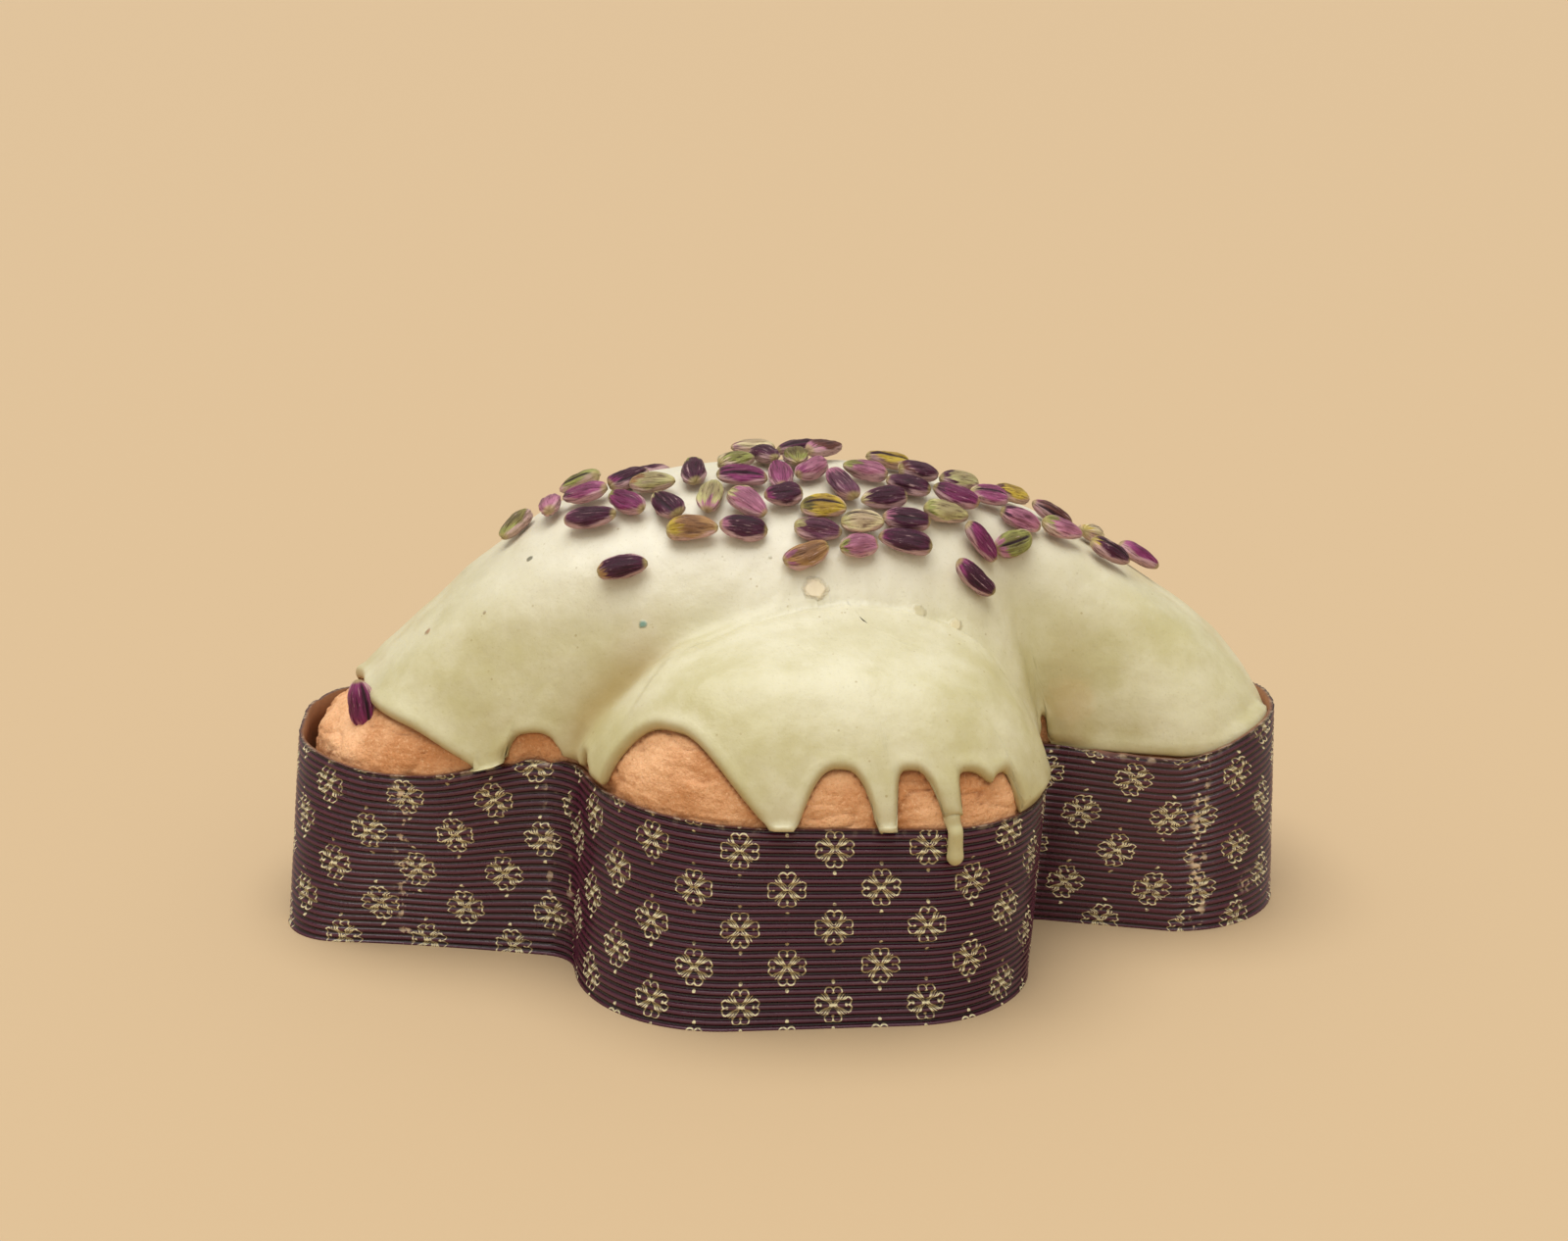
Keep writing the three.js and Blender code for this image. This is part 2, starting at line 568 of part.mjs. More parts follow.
/** Height of a surface straight above or below a place: its highest, or its lowest. */
function surfaceHeight(faces, { x, y }, pick) {
  const ray = new THREE.Ray(new THREE.Vector3(x, y, 0), new THREE.Vector3(0, 0, 1));
  const found = new THREE.Vector3();
  const heights = faces
    .filter(({ box }) => x >= box.min.x && x <= box.max.x && y >= box.min.y && y <= box.max.y)
    .filter(({ a, b, c }) => ray.intersectTriangle(a, b, c, false, found))
    .map(({ a, b, c }) => ray.intersectTriangle(a, b, c, false, found).z);
  return heights.length ? pick(...heights) : null;
}

/** Least height of a nut over the glaze, looked for at the corners and middles of both. */
function clearanceOver(nutFaces, glazeFaces) {
  const box = new THREE.Box3();
  nutFaces.forEach((face) => box.union(face.box));
  const near = glazeFaces.filter((face) => (
    face.box.max.x > box.min.x && face.box.min.x < box.max.x
    && face.box.max.y > box.min.y && face.box.min.y < box.max.y && face.box.max.z > box.min.z - 8));
  const places = ({ a, b, c }) => [
    a, b, c, a.clone().lerp(b, 0.5), b.clone().lerp(c, 0.5), c.clone().lerp(a, 0.5),
    a.clone().add(b).add(c).divideScalar(3),
  ];
  let least = Infinity;
  for (const place of [...nutFaces, ...near].flatMap(places)) {
    const glazeHeight = surfaceHeight(near, place, Math.max);
    const nutHeight = surfaceHeight(nutFaces, place, Math.min);
    if (glazeHeight !== null && nutHeight !== null) least = Math.min(least, nutHeight - glazeHeight);
  }
  return least;
}

/** A geometry's triangles, each with its box. */
function facesOf(geometry) {
  const position = geometry.getAttribute('position');
  const index = geometry.getIndex();
  const faces = [];
  for (let k = 0; k < index.count; k += 3) {
    const [a, b, c] = [0, 1, 2].map((corner) => (
      new THREE.Vector3().fromBufferAttribute(position, index.getX(k + corner))));
    faces.push({ a, b, c, box: new THREE.Box3().setFromPoints([a, b, c]) });
  }
  return faces;
}

// ---------------------------------------------------------------- the whole cake
const MATERIALS = {
  paper: new THREE.MeshStandardMaterial({ color: '#3c1c2b', roughness: 0.45, metalness: 0 }),
  crust: new THREE.MeshStandardMaterial({ color: '#c9884f', roughness: 0.85, metalness: 0 }),
  glaze: new THREE.MeshStandardMaterial({ color: '#cfc99a', roughness: 0.35, metalness: 0 }),
  nut: new THREE.MeshStandardMaterial({ color: '#7a4564', roughness: 0.6, metalness: 0 }),
};

function named(name, geometry, material) {
  const mesh = new THREE.Mesh(geometry, material);
  mesh.name = name;
  return mesh;
}

function buildColomba() {
  const colomba = new THREE.Group();
  const glaze = glazeGeometry();
  colomba.add(named('paper_case', caseGeometry(), MATERIALS.paper));
  colomba.add(named('cake', cakeGeometry(), MATERIALS.crust));
  colomba.add(named('pistachio_glaze', glaze, MATERIALS.glaze));
  const glazeFaces = facesOf(glaze);
  settledNuts().forEach((nut, k) => {
    let lift = 0;
    for (let pass = 0; pass < 3; pass += 1) {
      const clearance = clearanceOver(facesOf(nutGeometry(nut, lift)), glazeFaces);
      lift += (NUT.sink - clearance) * nut.axes.up.z;
    }
    const name = `pistachio_${String(k + 1).padStart(2, '0')}`;
    colomba.add(named(name, nutGeometry(nut, lift), MATERIALS.nut));
  });
  return colomba;
}

export default buildColomba();
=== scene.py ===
# %% [markdown]
# # A colomba with pistachio glaze
# A dove-shaped Easter cake in its corrugated paper case. The solids from the CAD model give every
# piece its place; this script replaces them with skins fine enough to show flutes, crags, drips
# and wrinkled nuts. Lengths in the formulas are millimetres, and meshes are written in metres.

# %% Load the frame
import math

import bmesh
import bpy
import numpy as np
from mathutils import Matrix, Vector, noise


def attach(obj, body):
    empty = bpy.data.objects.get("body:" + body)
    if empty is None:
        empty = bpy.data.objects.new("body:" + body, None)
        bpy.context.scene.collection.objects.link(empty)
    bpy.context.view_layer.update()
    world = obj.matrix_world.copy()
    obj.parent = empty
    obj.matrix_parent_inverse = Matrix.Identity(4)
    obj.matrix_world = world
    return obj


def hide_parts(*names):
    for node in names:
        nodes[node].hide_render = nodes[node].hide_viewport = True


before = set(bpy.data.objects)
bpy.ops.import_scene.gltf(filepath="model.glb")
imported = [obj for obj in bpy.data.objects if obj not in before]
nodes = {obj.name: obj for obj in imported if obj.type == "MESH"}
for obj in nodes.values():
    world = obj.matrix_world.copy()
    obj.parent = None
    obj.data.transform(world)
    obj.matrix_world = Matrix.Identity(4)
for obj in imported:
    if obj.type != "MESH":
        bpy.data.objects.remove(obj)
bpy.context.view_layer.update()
MM = 0.001

# %% [markdown]
# ## Small tools for curves
# Nearly every form below fades in somewhere, follows a line through a few points, or melts into
# its neighbour. Modifiers could do each of these once, by hand. Four short functions on numpy
# arrays shape thousands of points at a time, and every piece can use them again.

# %% Steps, mixes and curves
def smooth(start, end, value):
    """0 before start and 1 past end, with a soft step between; start may be the larger."""
    t = np.clip((value - start) / (end - start), 0, 1)
    return t * t * (3 - 2 * t)


def mix(a, b, t):
    return a + (b - a) * t


def rounded_min(a, b, blend):
    """The smaller of two values, with the corner between them rounded off."""
    t = np.clip(0.5 + 0.5 * (b - a) / blend, 0, 1)
    return b + (a - b) * t - blend * t * (1 - t)


def profile(points, place):
    """A smooth curve through (place, value) points, read at many places at once."""
    px, py = np.array(points, float).T
    slope = np.empty_like(py)
    slope[1:-1] = (py[2:] - py[:-2]) / (px[2:] - px[:-2])
    slope[0] = (py[1] - py[0]) / (px[1] - px[0])
    slope[-1] = (py[-1] - py[-2]) / (px[-1] - px[-2])
    x = np.clip(place, px[0], px[-1])
    i = np.clip(np.searchsorted(px, x, side="right") - 1, 0, len(px) - 2)
    span = px[i + 1] - px[i]
    t = (x - px[i]) / span
    low = (2 * t**3 - 3 * t**2 + 1) * py[i] + (t**3 - 2 * t**2 + t) * span * slope[i]
    return low + (3 * t**2 - 2 * t**3) * py[i + 1] + (t**3 - t**2) * span * slope[i + 1]


print("a soft step a quarter of the way:", float(smooth(0, 1, 0.25)))

# %% [markdown]
# ## The dove's plan
# The outline is two rounded bars, the long body and the wings, melted together with a smooth
# minimum. Working with a signed distance means that an inset, such as the paper's thickness, is
# one subtraction. A traced curve would look the same but could not be inset or lofted so simply.

# %% Outline of the body and wings
HEAD_END, TAIL_END = (-154, -149), (151.5, 148.5)  # x on the ground, x at the rim
WING_REACH = (102.5, 103)  # y on the ground, y at the rim
ARMPIT = 9  # how softly body and wings meet


def bar_distance(x, y, centre, half_length, half_width, low_corner, high_corner):
    """Signed distance to a bar, with one corner radius to the left of its centre and one right."""
    corner = np.where(x < centre, low_corner, high_corner)
    qx = np.abs(x - centre) - (half_length - corner)
    qy = np.abs(y) - (half_width - corner)
    return np.hypot(np.maximum(qx, 0), np.maximum(qy, 0)) + np.minimum(np.maximum(qx, qy), 0) - corner


def plan_distance(x, y, lift):
    """Signed distance to the paper's outer face, at lift 0 on the ground to 1 at the rim."""
    head = 36 + 16 * np.clip((x + 140) / 74, 0, 1) ** 1.3
    tail = 33.5 + 12.5 * np.clip((x - 70) / 44, 0, 1)
    half = np.where(x < 0, head, tail) + mix(0.5, 2 + 2.5 * smooth(-70, -110, x), lift)
    low, high = mix(*HEAD_END, lift), mix(*TAIL_END, lift)
    body = bar_distance(x, y, (low + high) / 2, (high - low) / 2, half, mix(18, 34, lift), 34)
    wing = bar_distance(x, y, mix(0, 3, lift), mix(66.5, 67.5, lift), mix(*WING_REACH, lift),
                        mix(44, 54, lift), mix(38, 40, lift))
    return rounded_min(body, wing, ARMPIT)


for spot in [(-100, 0), (0, 0), (100, 0), (0, -80)]:
    print("plan at", spot, "lies", round(-float(plan_distance(*spot, 1)), 1), "mm inside the rim")

# %% [markdown]
# ## Heights of the rim and the dough
# Seen from the side, the log rises in one long curve from head to tail, and the wings cross it a
# little lower. Both backs are a smooth curve through a few points, and the higher one wins, with a
# soft join. Near the paper the dough drops over a rounded edge, so its height follows a quarter
# circle of the distance to the rim. Sculpting would give the same lumps, but then the glaze, the
# crust and the nuts could not ask how high the dough is at a point.

# %% Heights
RIM_BODY, RIM_WING = 56, 60.5
PAPER = 1.5
EDGE_RADIUS = 22
# Backs of the log and the wing: (x or distance from the middle, height).
LOG_BACK = [(-149, 64), (-137, 65.5), (-128, 69.5), (-121, 76), (-114, 83), (-106, 90.5),
            (-88, 106), (-65, 121.2), (-35, 130.4), (0, 132.4), (30, 130.4), (60, 122),
            (88, 108.5), (105, 98), (118, 88.5), (129, 81), (140, 75), (149, 70)]
LOG_HALF_WIDTH = [(-149, 38), (-100, 46), (-66, 54), (0, 54), (60, 48), (114, 48), (149, 40)]
WING_BACK = [(0, 104), (30, 105), (45, 104), (60, 101), (80, 94), (95, 86), (105, 80)]
DOUGH_BASE = 57


def rim_height(x):
    """The dough's edge and, but for the head's and tail's ends, the paper's rim."""
    near_wing = smooth(112, 72, np.abs(x))
    return RIM_BODY + near_wing * (RIM_WING - RIM_BODY - 2.3 * np.clip(x / 60, -1, 1))


def paper_height(x, y):
    """The paper's rim, which rises at the tail, most on the near side, and a little at the head."""
    tail_rise = 7.5 * smooth(110, 150, x) * (1 - 0.75 * smooth(-12, 22, y))
    return rim_height(x) + tail_rise + 1.5 * smooth(-125, -147, x)


def cake_inset(x):
    """How far in from the paper's outer face the dough's edge stands; it shrank at both ends."""
    return PAPER + 0.5 + 4.5 * smooth(-118, -146, x) + 2.9 * smooth(78, 92, x)


def dents(x, y):
    """Hollows over the notches, where the wing's dough met the log's."""
    far = np.abs(y) - 57
    trough = np.exp(-((far + 2.5) / 6.5) ** 2) * smooth(-72, -60, x) * smooth(-30, -48, x)
    left = 2.0 * np.exp(-((x + 51) / 10) ** 2 - (far / 11) ** 2) + 3.2 * trough
    left += 1.4 * np.exp(-((x + 34) / 16) ** 2 - ((far + 6) / 6) ** 2)
    right = 1.6 * np.exp(-((x - 64) / 9) ** 2 - ((far + 10) / 11) ** 2)
    corner = 2.2 * np.exp(-((x + 134) / 5) ** 2 - ((y + 9) / 6) ** 2)
    return left + right - corner


def cake_top(x, y):
    """The dough's height: the higher of log and wing, rounded off towards the rim."""
    across = np.minimum(np.abs(y) / profile(LOG_HALF_WIDTH, x), 1.6) ** 2.2
    log = DOUGH_BASE + (profile(LOG_BACK, x) - DOUGH_BASE) * (1 - 0.5 * across)
    wing_fall = np.minimum(np.abs(x - 4) / 66, 1.6) ** 2.4
    wing = DOUGH_BASE + (profile(WING_BACK, np.abs(y)) - DOUGH_BASE) * (1 - 0.5 * wing_fall)
    high = -rounded_min(-log, -wing, 5)
    inside = np.clip((-plan_distance(x, y, 1) - cake_inset(x)) / EDGE_RADIUS, 0, 1)
    rim = rim_height(x)
    return rim + (high - rim - dents(x, y)) * np.sqrt(1 - (1 - inside) ** 2)


print(f"top of the dough {float(cake_top(0.0, 0.0)):.1f} mm, wing's back at its middle "
      f"{float(cake_top(4.0, -80.0)):.1f} mm, rim {rim_height(0.0):.1f} mm")

# %% [markdown]
# ## A ruler along the rim
# Windows, drips, tears and the print are placed by how far along the rim they lie, in millimetres
# from the head's tip and along the near side first. The formula has no lengths of its own, so the
# outline is found by halving in many directions and then measured. A curve object could be measured
# too, but the plan would then exist twice.

# %% Outline points and the ruler
FARTHEST = 220


def outline(angle, lift, inset):
    """Points of the plan's outline in given directions; inset is a number or follows x."""
    low, high = np.zeros_like(angle), np.full_like(angle, FARTHEST)
    for _ in range(40):
        reach = (low + high) / 2
        x, y = reach * np.cos(angle), reach * np.sin(angle)
        edge = inset(x) if callable(inset) else inset
        within = plan_distance(x, y, lift) < -edge
        low, high = np.where(within, reach, low), np.where(within, high, reach)
    return low * np.cos(angle), low * np.sin(angle)


def ruler(inset, samples=7200):
    """Directions from the centre, and the length along the rim from the head's tip to each."""
    angle = math.pi + np.linspace(0, 2 * math.pi, samples + 1)
    x, y = outline(angle, 1.0, inset)
    return angle, np.concatenate([[0], np.cumsum(np.hypot(np.diff(x), np.diff(y)))])


inner_angle, inner_place = ruler(PAPER)
outer_angle, outer_place = ruler(0.0)
INNER, OUTER = inner_place[-1], outer_place[-1]
print(f"rim outline {OUTER:.1f} mm outside, {INNER:.1f} mm inside")

# %% [markdown]
# ## Skins from an operator's grid
# Each big piece is a closed skin: Blender makes a flat grid, and the formulas then move its
# points. The grid's two sides are welded into a tube, and its first and last rows, each moved to
# a single point, are welded into poles, so nothing is left open. Moving an operator's grid keeps
# the topology in Blender's hands and leaves only the form to the formulas.

# %% Noise on many points
def fractal(points, scale, octaves=4, seed=0.0):
    """Fractal noise in about -1 to 1 at points in millimetres, scale being its wavelength."""
    shift = Vector((seed * 17.3, seed * 5.7, seed * 9.1))
    flat = points.reshape(-1, 3) / scale
    values = [noise.fractal(Vector(p) + shift, 0.9, 2.0, octaves) for p in flat]
    return np.array(values).reshape(points.shape[:-1])


print("noise at three points:", fractal(np.array([[1, 2, 3], [4, 2, 3], [7, 2, 3]]), 9.0).round(2))

# %% A piece from a bmesh, and a skin from rings of points
def finish_mesh(bm, name):
    """Face the bmesh outwards, write it to a new object at the origin and shade it smooth."""
    mesh = bpy.data.meshes.new(name)
    bmesh.ops.recalc_face_normals(bm, faces=bm.faces)
    bm.to_mesh(mesh)
    bm.free()
    mesh.polygons.foreach_set("use_smooth", [True] * len(mesh.polygons))
    piece = bpy.data.objects.new(name, mesh)
    bpy.context.collection.objects.link(piece)
    return piece


def skin(name, rings, layers=None, paper=None):
    """A closed skin through rings of points, with named values and, for paper, its own UV."""
    rows, count = rings.shape[:2]
    bm = bmesh.new()
    bmesh.ops.create_grid(bm, x_segments=count, y_segments=rows - 1, size=1.0)
    flat = np.array([v.co[:2] for v in bm.verts])
    column = np.rint((flat[:, 0] + 1) / 2 * count).astype(int)
    row = np.rint((flat[:, 1] + 1) / 2 * (rows - 1)).astype(int)
    spots = rings[row, column % count] * MM
    if paper is not None:
        uv_layer = bm.loops.layers.uv.new("paper")
        for face in bm.faces:
            corners = [v.index for v in face.verts]
            cell = (row[corners].min(), column[corners].min())
            for loop in face.loops:
                loop[uv_layer].uv = paper(cell, row[loop.vert.index], column[loop.vert.index])
    for vert, spot in zip(bm.verts, spots):
        vert.co = spot
    for key, values in (layers or {}).items():
        layer = bm.verts.layers.float.new(key)
        for vert, value in zip(bm.verts, values[row, column % count]):
            vert[layer] = value
    bmesh.ops.remove_doubles(bm, verts=bm.verts, dist=1e-7)
    return finish_mesh(bm, name)


def report(piece):
    """Print a piece's triangles and size, so that each cell shows what it made."""
    triangles = sum(len(p.vertices) - 2 for p in piece.data.polygons)
    size = [round(1000 * v, 1) for v in piece.dimensions]
    print(f"{piece.name}: {triangles} triangles, {size} mm")


print("helpers ready: finish_mesh, skin, report")

# %% [markdown]
# ## The paper case
# Colomba moulds are stiff corrugated paper with nearly thirty fine flutes running level round the
# wall. The flutes are real relief here, five points to each, because their ridges carry the
# light; a bump map would leave the rim and the outline straight. The rim is a little torn, and
# the tears are soft dips at their own places, with a fine ragged line all round.

# %% Torn rim
FLUTES = 27
FLUTE_DEPTH = 0.9
CASE_COLUMNS = 640
CASE_ROWS = FLUTES * 5
TEARS = [(342, 3.5, 1.5), (333, 2.5, 0.9), (353, 3, 0.8), (361, 2, 0.7), (92, 3, 1.0),
         (104, 2.5, 1.2), (520, 4, 2.0), (733, 5, 2.0)]  # (place, width, depth)


def tears(place):
    """How far the torn rim dips below its line, in millimetres."""
    dips = sum(depth * np.exp(-((place - at) / width) ** 2) for at, width, depth in TEARS)
    spots = np.stack([np.cos(place / OUTER * math.tau), np.sin(place / OUTER * math.tau),
                      0 * place], -1) * OUTER / math.tau
    ragged = 0.35 * np.abs(fractal(spots, 5.0, 4, 1)) + 0.3 * np.abs(fractal(spots, 16.0, 2, 2))
    return dips + ragged


print(f"the rim's deepest tear: {tears(np.arange(0, OUTER, 1.0)).max():.1f} mm")

# %% [markdown]
# ### Its wall
# Both faces of the paper follow the same outline, the inner one a paper's thickness further in.
# Rings of points are worked out from the ground to the rim, and the outer ones are then pressed
# in between the flutes, along a few upright creases and where the paper is slack. Blender's Array
# and Curve modifiers could carry a straight fluted strip round the plan, but the strip would not
# lean with the wall or follow the rising rim.

# %% Wall points, flutes and creases
INNER_ROWS = 9
FLOOR_TOP = 1.6
CREASES = [(60, 1.1, 1.6, -7), (104, 0.8, 1.2, -2), (369, 1.6, 1.8, 3), (300, 0.7, 1.5, 2),
           (560, 0.9, 1.5, 4), (770, 1.0, 1.5, -3)]  # (place at the rim, depth, width, lean)


def case_wall(place, share, inset):
    """Wall points at places along the rim and shares of the height, for one face of the paper."""
    angle = np.interp(place, outer_place, outer_angle)
    full = paper_height(*outline(angle, 1.0, inset))
    torn = tears(place)
    rings = []
    for t in share:
        x, y = outline(angle, float(t), inset)
        rings.append(np.stack([x, y, full * t - torn * smooth(0.88, 1, t)], -1))
    return np.array(rings), full


places = np.arange(CASE_COLUMNS) / CASE_COLUMNS * OUTER
outer_share = np.linspace(0, 1, CASE_ROWS + 1)
outer, full_height = case_wall(places, outer_share, 0.0)
radial = outer[..., :2] / np.linalg.norm(outer[..., :2], axis=-1, keepdims=True)
step = np.linalg.norm(np.diff(np.concatenate([outer, outer[:, :1]], 1)[..., :2], axis=1), axis=-1)
ring_run = np.concatenate([0 * step[:, :1], np.cumsum(step, axis=1)], axis=1)
wander = fractal(outer * [1, 1, 0.3], 42.0, 2, 3) * 0.10
phase = outer[..., 2] / full_height * FLUTES + wander
ridge = 0.5 + 0.5 * np.cos(phase * math.tau)
creases = sum(depth * np.exp(-((places - at - lean * (1 - outer_share[:, None])) / wide) ** 2)
              for at, depth, wide, lean in CREASES)
slack = 0.5 + 0.5 * np.clip(fractal(outer, 55.0, 2, 4), -1, 1)
inward = FLUTE_DEPTH * (1 - ridge) ** 0.8 + 0.35 * creases + 0.3 * slack
inward *= smooth(0, 0.012, outer_share)[:, None]
outer[..., :2] -= radial * inward[..., None]
inner_share = np.linspace(1, 0.05, INNER_ROWS)
wall_inside, _ = case_wall(places, inner_share, PAPER + 0.2)
floor_ring = wall_inside[-1:] * [0.97, 0.97, 0] + [0, 0, FLOOR_TOP]
floor_middle = 0 * outer[:1] + [0, 0, FLOOR_TOP]
rings = np.concatenate([0 * outer[:1], outer, wall_inside, floor_ring, floor_middle])
side = np.concatenate([[0], np.zeros(CASE_ROWS + 1), np.ones(INNER_ROWS), [1, 1]])
heights = np.concatenate([[0], outer_share, inner_share, [0, 0]])
print(f"wall: {len(rings)} rings of {CASE_COLUMNS} points, "
      f"{full_height.min():.1f} to {full_height.max():.1f} mm high")

# %% [markdown]
# ### The unrolled sheet
# The flowers were printed while the paper lay flat, so the pattern must follow the sheet round
# every corner. A UV map called paper says where each corner of a face lies on the unrolled sheet:
# along its own ring, and up from the floor. Where the paper is lapped, the print starts again. A
# box or cylinder projection would be quicker, but it would squeeze the flowers at the corners.

# %% Paper UV and the case's skin
# Stretches of one print: (from, to, print's start, print's drop) in mm.
PRINT_STRETCHES = [
    (0, 112, 86.5, 5.1), (112, 318, 155.0, 0.0), (318, 369, 350.0, 5.4),
    (369, 545, 381.5, 5.0), (545, 748, 640.0, 0.0), (748, 1100, 947.1, 5.1),
]
LAST_STRETCH = 748  # this one runs on past the head's tip into the first
HEAD_ANCHOR = 72  # both are measured from this place


def paper_uv(cell, row, column):
    """Where a corner lies on the unrolled sheet: along its own ring, and up from the floor."""
    ring = min(max(row - 1, 0), CASE_ROWS)
    middle = (cell[1] + 0.5) / CASE_COLUMNS * OUTER
    first, last, start, drop = next(s for s in PRINT_STRETCHES if s[0] <= middle < s[1])
    anchor = HEAD_ANCHOR if first in (0, LAST_STRETCH) else (first + last) / 2
    at = round(anchor / OUTER * CASE_COLUMNS)
    along_ring = ring_run[ring, column] - ring_run[ring, at] + at / CASE_COLUMNS * OUTER
    if first == LAST_STRETCH:
        along_ring += OUTER - ring_run[ring, -1]
    v = full_height[column % CASE_COLUMNS] * heights[row] + drop
    return (along_ring - start) * MM, v * MM


edge_wear = np.exp(-(1 - heights) / 0.012)[:, None] * np.ones(CASE_COLUMNS)
crease_wear, flute_phase = np.zeros((2, len(rings), CASE_COLUMNS))
crease_wear[1:CASE_ROWS + 2] = np.clip(creases, 0, 1)
flute_phase[1:CASE_ROWS + 2] = phase
case = skin("paper_case_fluted", rings, {
    "inside": side[:, None] * np.ones(CASE_COLUMNS), "edge": edge_wear, "crease": crease_wear,
    "phase": flute_phase,
}, paper_uv)
report(case)

# %% [markdown]
# ## Ways over the cake
# Crust and glaze are both laid along the same ways: from the rim up over the rounded edge, then
# inwards to the middle. Each way is sampled finely and measured, so a row can be placed at a
# length along it, such as 2 mm from the glaze's edge. Shrinkwrapping a second mesh onto the dough
# would be less work, but its rows would not follow the drips.

# %% Ways from the rim to the middle
TUCK_START, TUCK_END = 255, INNER - 329  # between these places the glaze ends inside the paper
OVERLAP = 0.35  # how far the glaze stands off the paper's outer face and above its rim
OVER_RIM = 1.3  # the edge's plain height above the rim, where it isn't tucked in


def distance_in(x, y):
    """How far a point lies inside the dough's own edge."""
    return -plan_distance(x, y, 1) - cake_inset(x)


def tucked(place):
    """1 at places where the glaze goes down inside the paper, 0 where it lies over the rim."""
    return smooth(TUCK_START, TUCK_START + 5, place) * smooth(TUCK_END, TUCK_END - 5, place)


def ways(place, over_paper):
    """Points along the way of each column, from the rim to the middle, and their lengths."""
    angle = np.interp(place % INNER, inner_place, inner_angle)
    x, y = outline(angle, 1.0, cake_inset)
    wing_share, body_share = np.abs(y) / WING_REACH[1], np.abs(x) / TAIL_END[1]
    wing = smooth(0.3, 0.6, wing_share / (wing_share + body_share))
    # Every way bends at a point of its own, near its arm's back, so that ways never cross.
    mx, my = x * mix(0.72, 0.3, wing), y * mix(0.25, 0.62, wing)
    points = []
    # Up the rounded edge, in steps that are closest at the rim, each found by halving.
    for inside in EDGE_RADIUS * np.linspace(0, 1, 61)[1:] ** 2:
        low, high = np.zeros_like(x), np.ones_like(x)
        for _ in range(30):
            t = (low + high) / 2
            short = distance_in(mix(x, mx, t), mix(y, my, t)) < inside
            low, high = np.where(short, t, low), np.where(short, high, t)
        points.append((mix(x, mx, low), mix(y, my, low)))
    # On to the bend, and from there to the middle of the cake.
    sx, sy = points[-1]
    points += [(mix(sx, mx, t), mix(sy, my, t)) for t in np.linspace(0, 1, 25)[1:]]
    points += [(mx * (1 - t), my * (1 - t)) for t in np.linspace(0, 1, 25)[1:]]
    path = np.array([np.stack([px, py, cake_top(px, py)], -1) for px, py in points])
    # Every way starts half way down the wall: outside the paper for the glaze where it lies over
    # the rim, and inside it for the crust and for the tucked glaze.
    if over_paper:
        tuck = tucked(place % INNER)
        ox, oy = outline(angle, 1.0, -OVERLAP)
        lx, ly = outline(angle, 0.5, -OVERLAP)
        rim = rim_height(ox)
        ox, oy, lx, ly = mix(ox, x, tuck), mix(oy, y, tuck), mix(lx, x, tuck), mix(ly, y, tuck)
        start = np.array([np.stack([lx, ly, rim / 2], -1),
                          np.stack([ox, oy, rim + OVERLAP * (1 - tuck)], -1)])
        low = path[..., 2] <= rim + OVER_RIM * (1 - tuck)
    else:
        rim = rim_height(x)
        bx, by = outline(angle, 0.5, PAPER + 0.5)
        start = np.array([np.stack([bx, by, rim / 2], -1), np.stack([x, y, rim], -1)])
        low = path[..., 2] <= rim
    # Points lower than that height are gathered at the first that isn't.
    first = np.argmin(low, axis=0)
    for k in range(path.shape[1]):
        path[:first[k], k] = path[first[k], k]
    path = np.concatenate([start, path])
    step = np.linalg.norm(np.diff(path, axis=0), axis=-1)
    return path, np.concatenate([np.zeros((1, len(x))), np.cumsum(step, axis=0)]), rim


one_way, one_length, _ = ways(np.array([200.0]), over_paper=False)
print(f"the way from place 200 has {len(one_way)} points and is {one_length[-1, 0]:.1f} mm long")


# %% Points and normals along the ways
def along(path, length, wanted):
    """The points at wanted[row, column] lengths along each column's way."""
    out = np.empty((len(wanted), path.shape[1], 3))
    for k in range(path.shape[1]):
        for axis in range(3):
            out[:, k, axis] = np.interp(wanted[:, k], length[:, k], path[:, k, axis])
    return out


def surface_normals(points):
    """Out of the cake above its rim, and level out of the paper below it."""
    x, y, z = points[..., 0], points[..., 1], points[..., 2]
    step = 1.2
    slope_x = (cake_top(x + step, y) - cake_top(x - step, y)) / (2 * step)
    slope_y = (cake_top(x, y + step) - cake_top(x, y - step)) / (2 * step)
    over = np.stack([-slope_x, -slope_y, np.ones_like(x)], -1)
    over /= np.linalg.norm(over, axis=-1, keepdims=True)
    side_x = plan_distance(x + 0.5, y, 1) - plan_distance(x - 0.5, y, 1)
    side_y = plan_distance(x, y + 0.5, 1) - plan_distance(x, y - 0.5, 1)
    level = np.stack([side_x, side_y, 0 * x], -1)
    level /= np.maximum(np.linalg.norm(level, axis=-1, keepdims=True), 1e-9)
    blend = smooth(0.3, 2.2, z - rim_height(x))[..., None]
    both = level * (1 - blend) + over * blend
    return both / np.linalg.norm(both, axis=-1, keepdims=True)


print("the skin's normal at the top:", surface_normals(one_way[-1:]).round(2).tolist())

# %% [markdown]
# ## The glaze's edge
# Poured glaze stops unevenly: it leaves windows of bare crust and runs over the paper in drips.
# One formula says how high the edge stays above the rim at every place. Each window raises it in
# a blunt hump, steeper on one side if need be, and each drip pulls it down. A knife cut through a
# finished coat would give sharp edges; here the edge is known first, so crust, lip and drips can
# all be built from it.

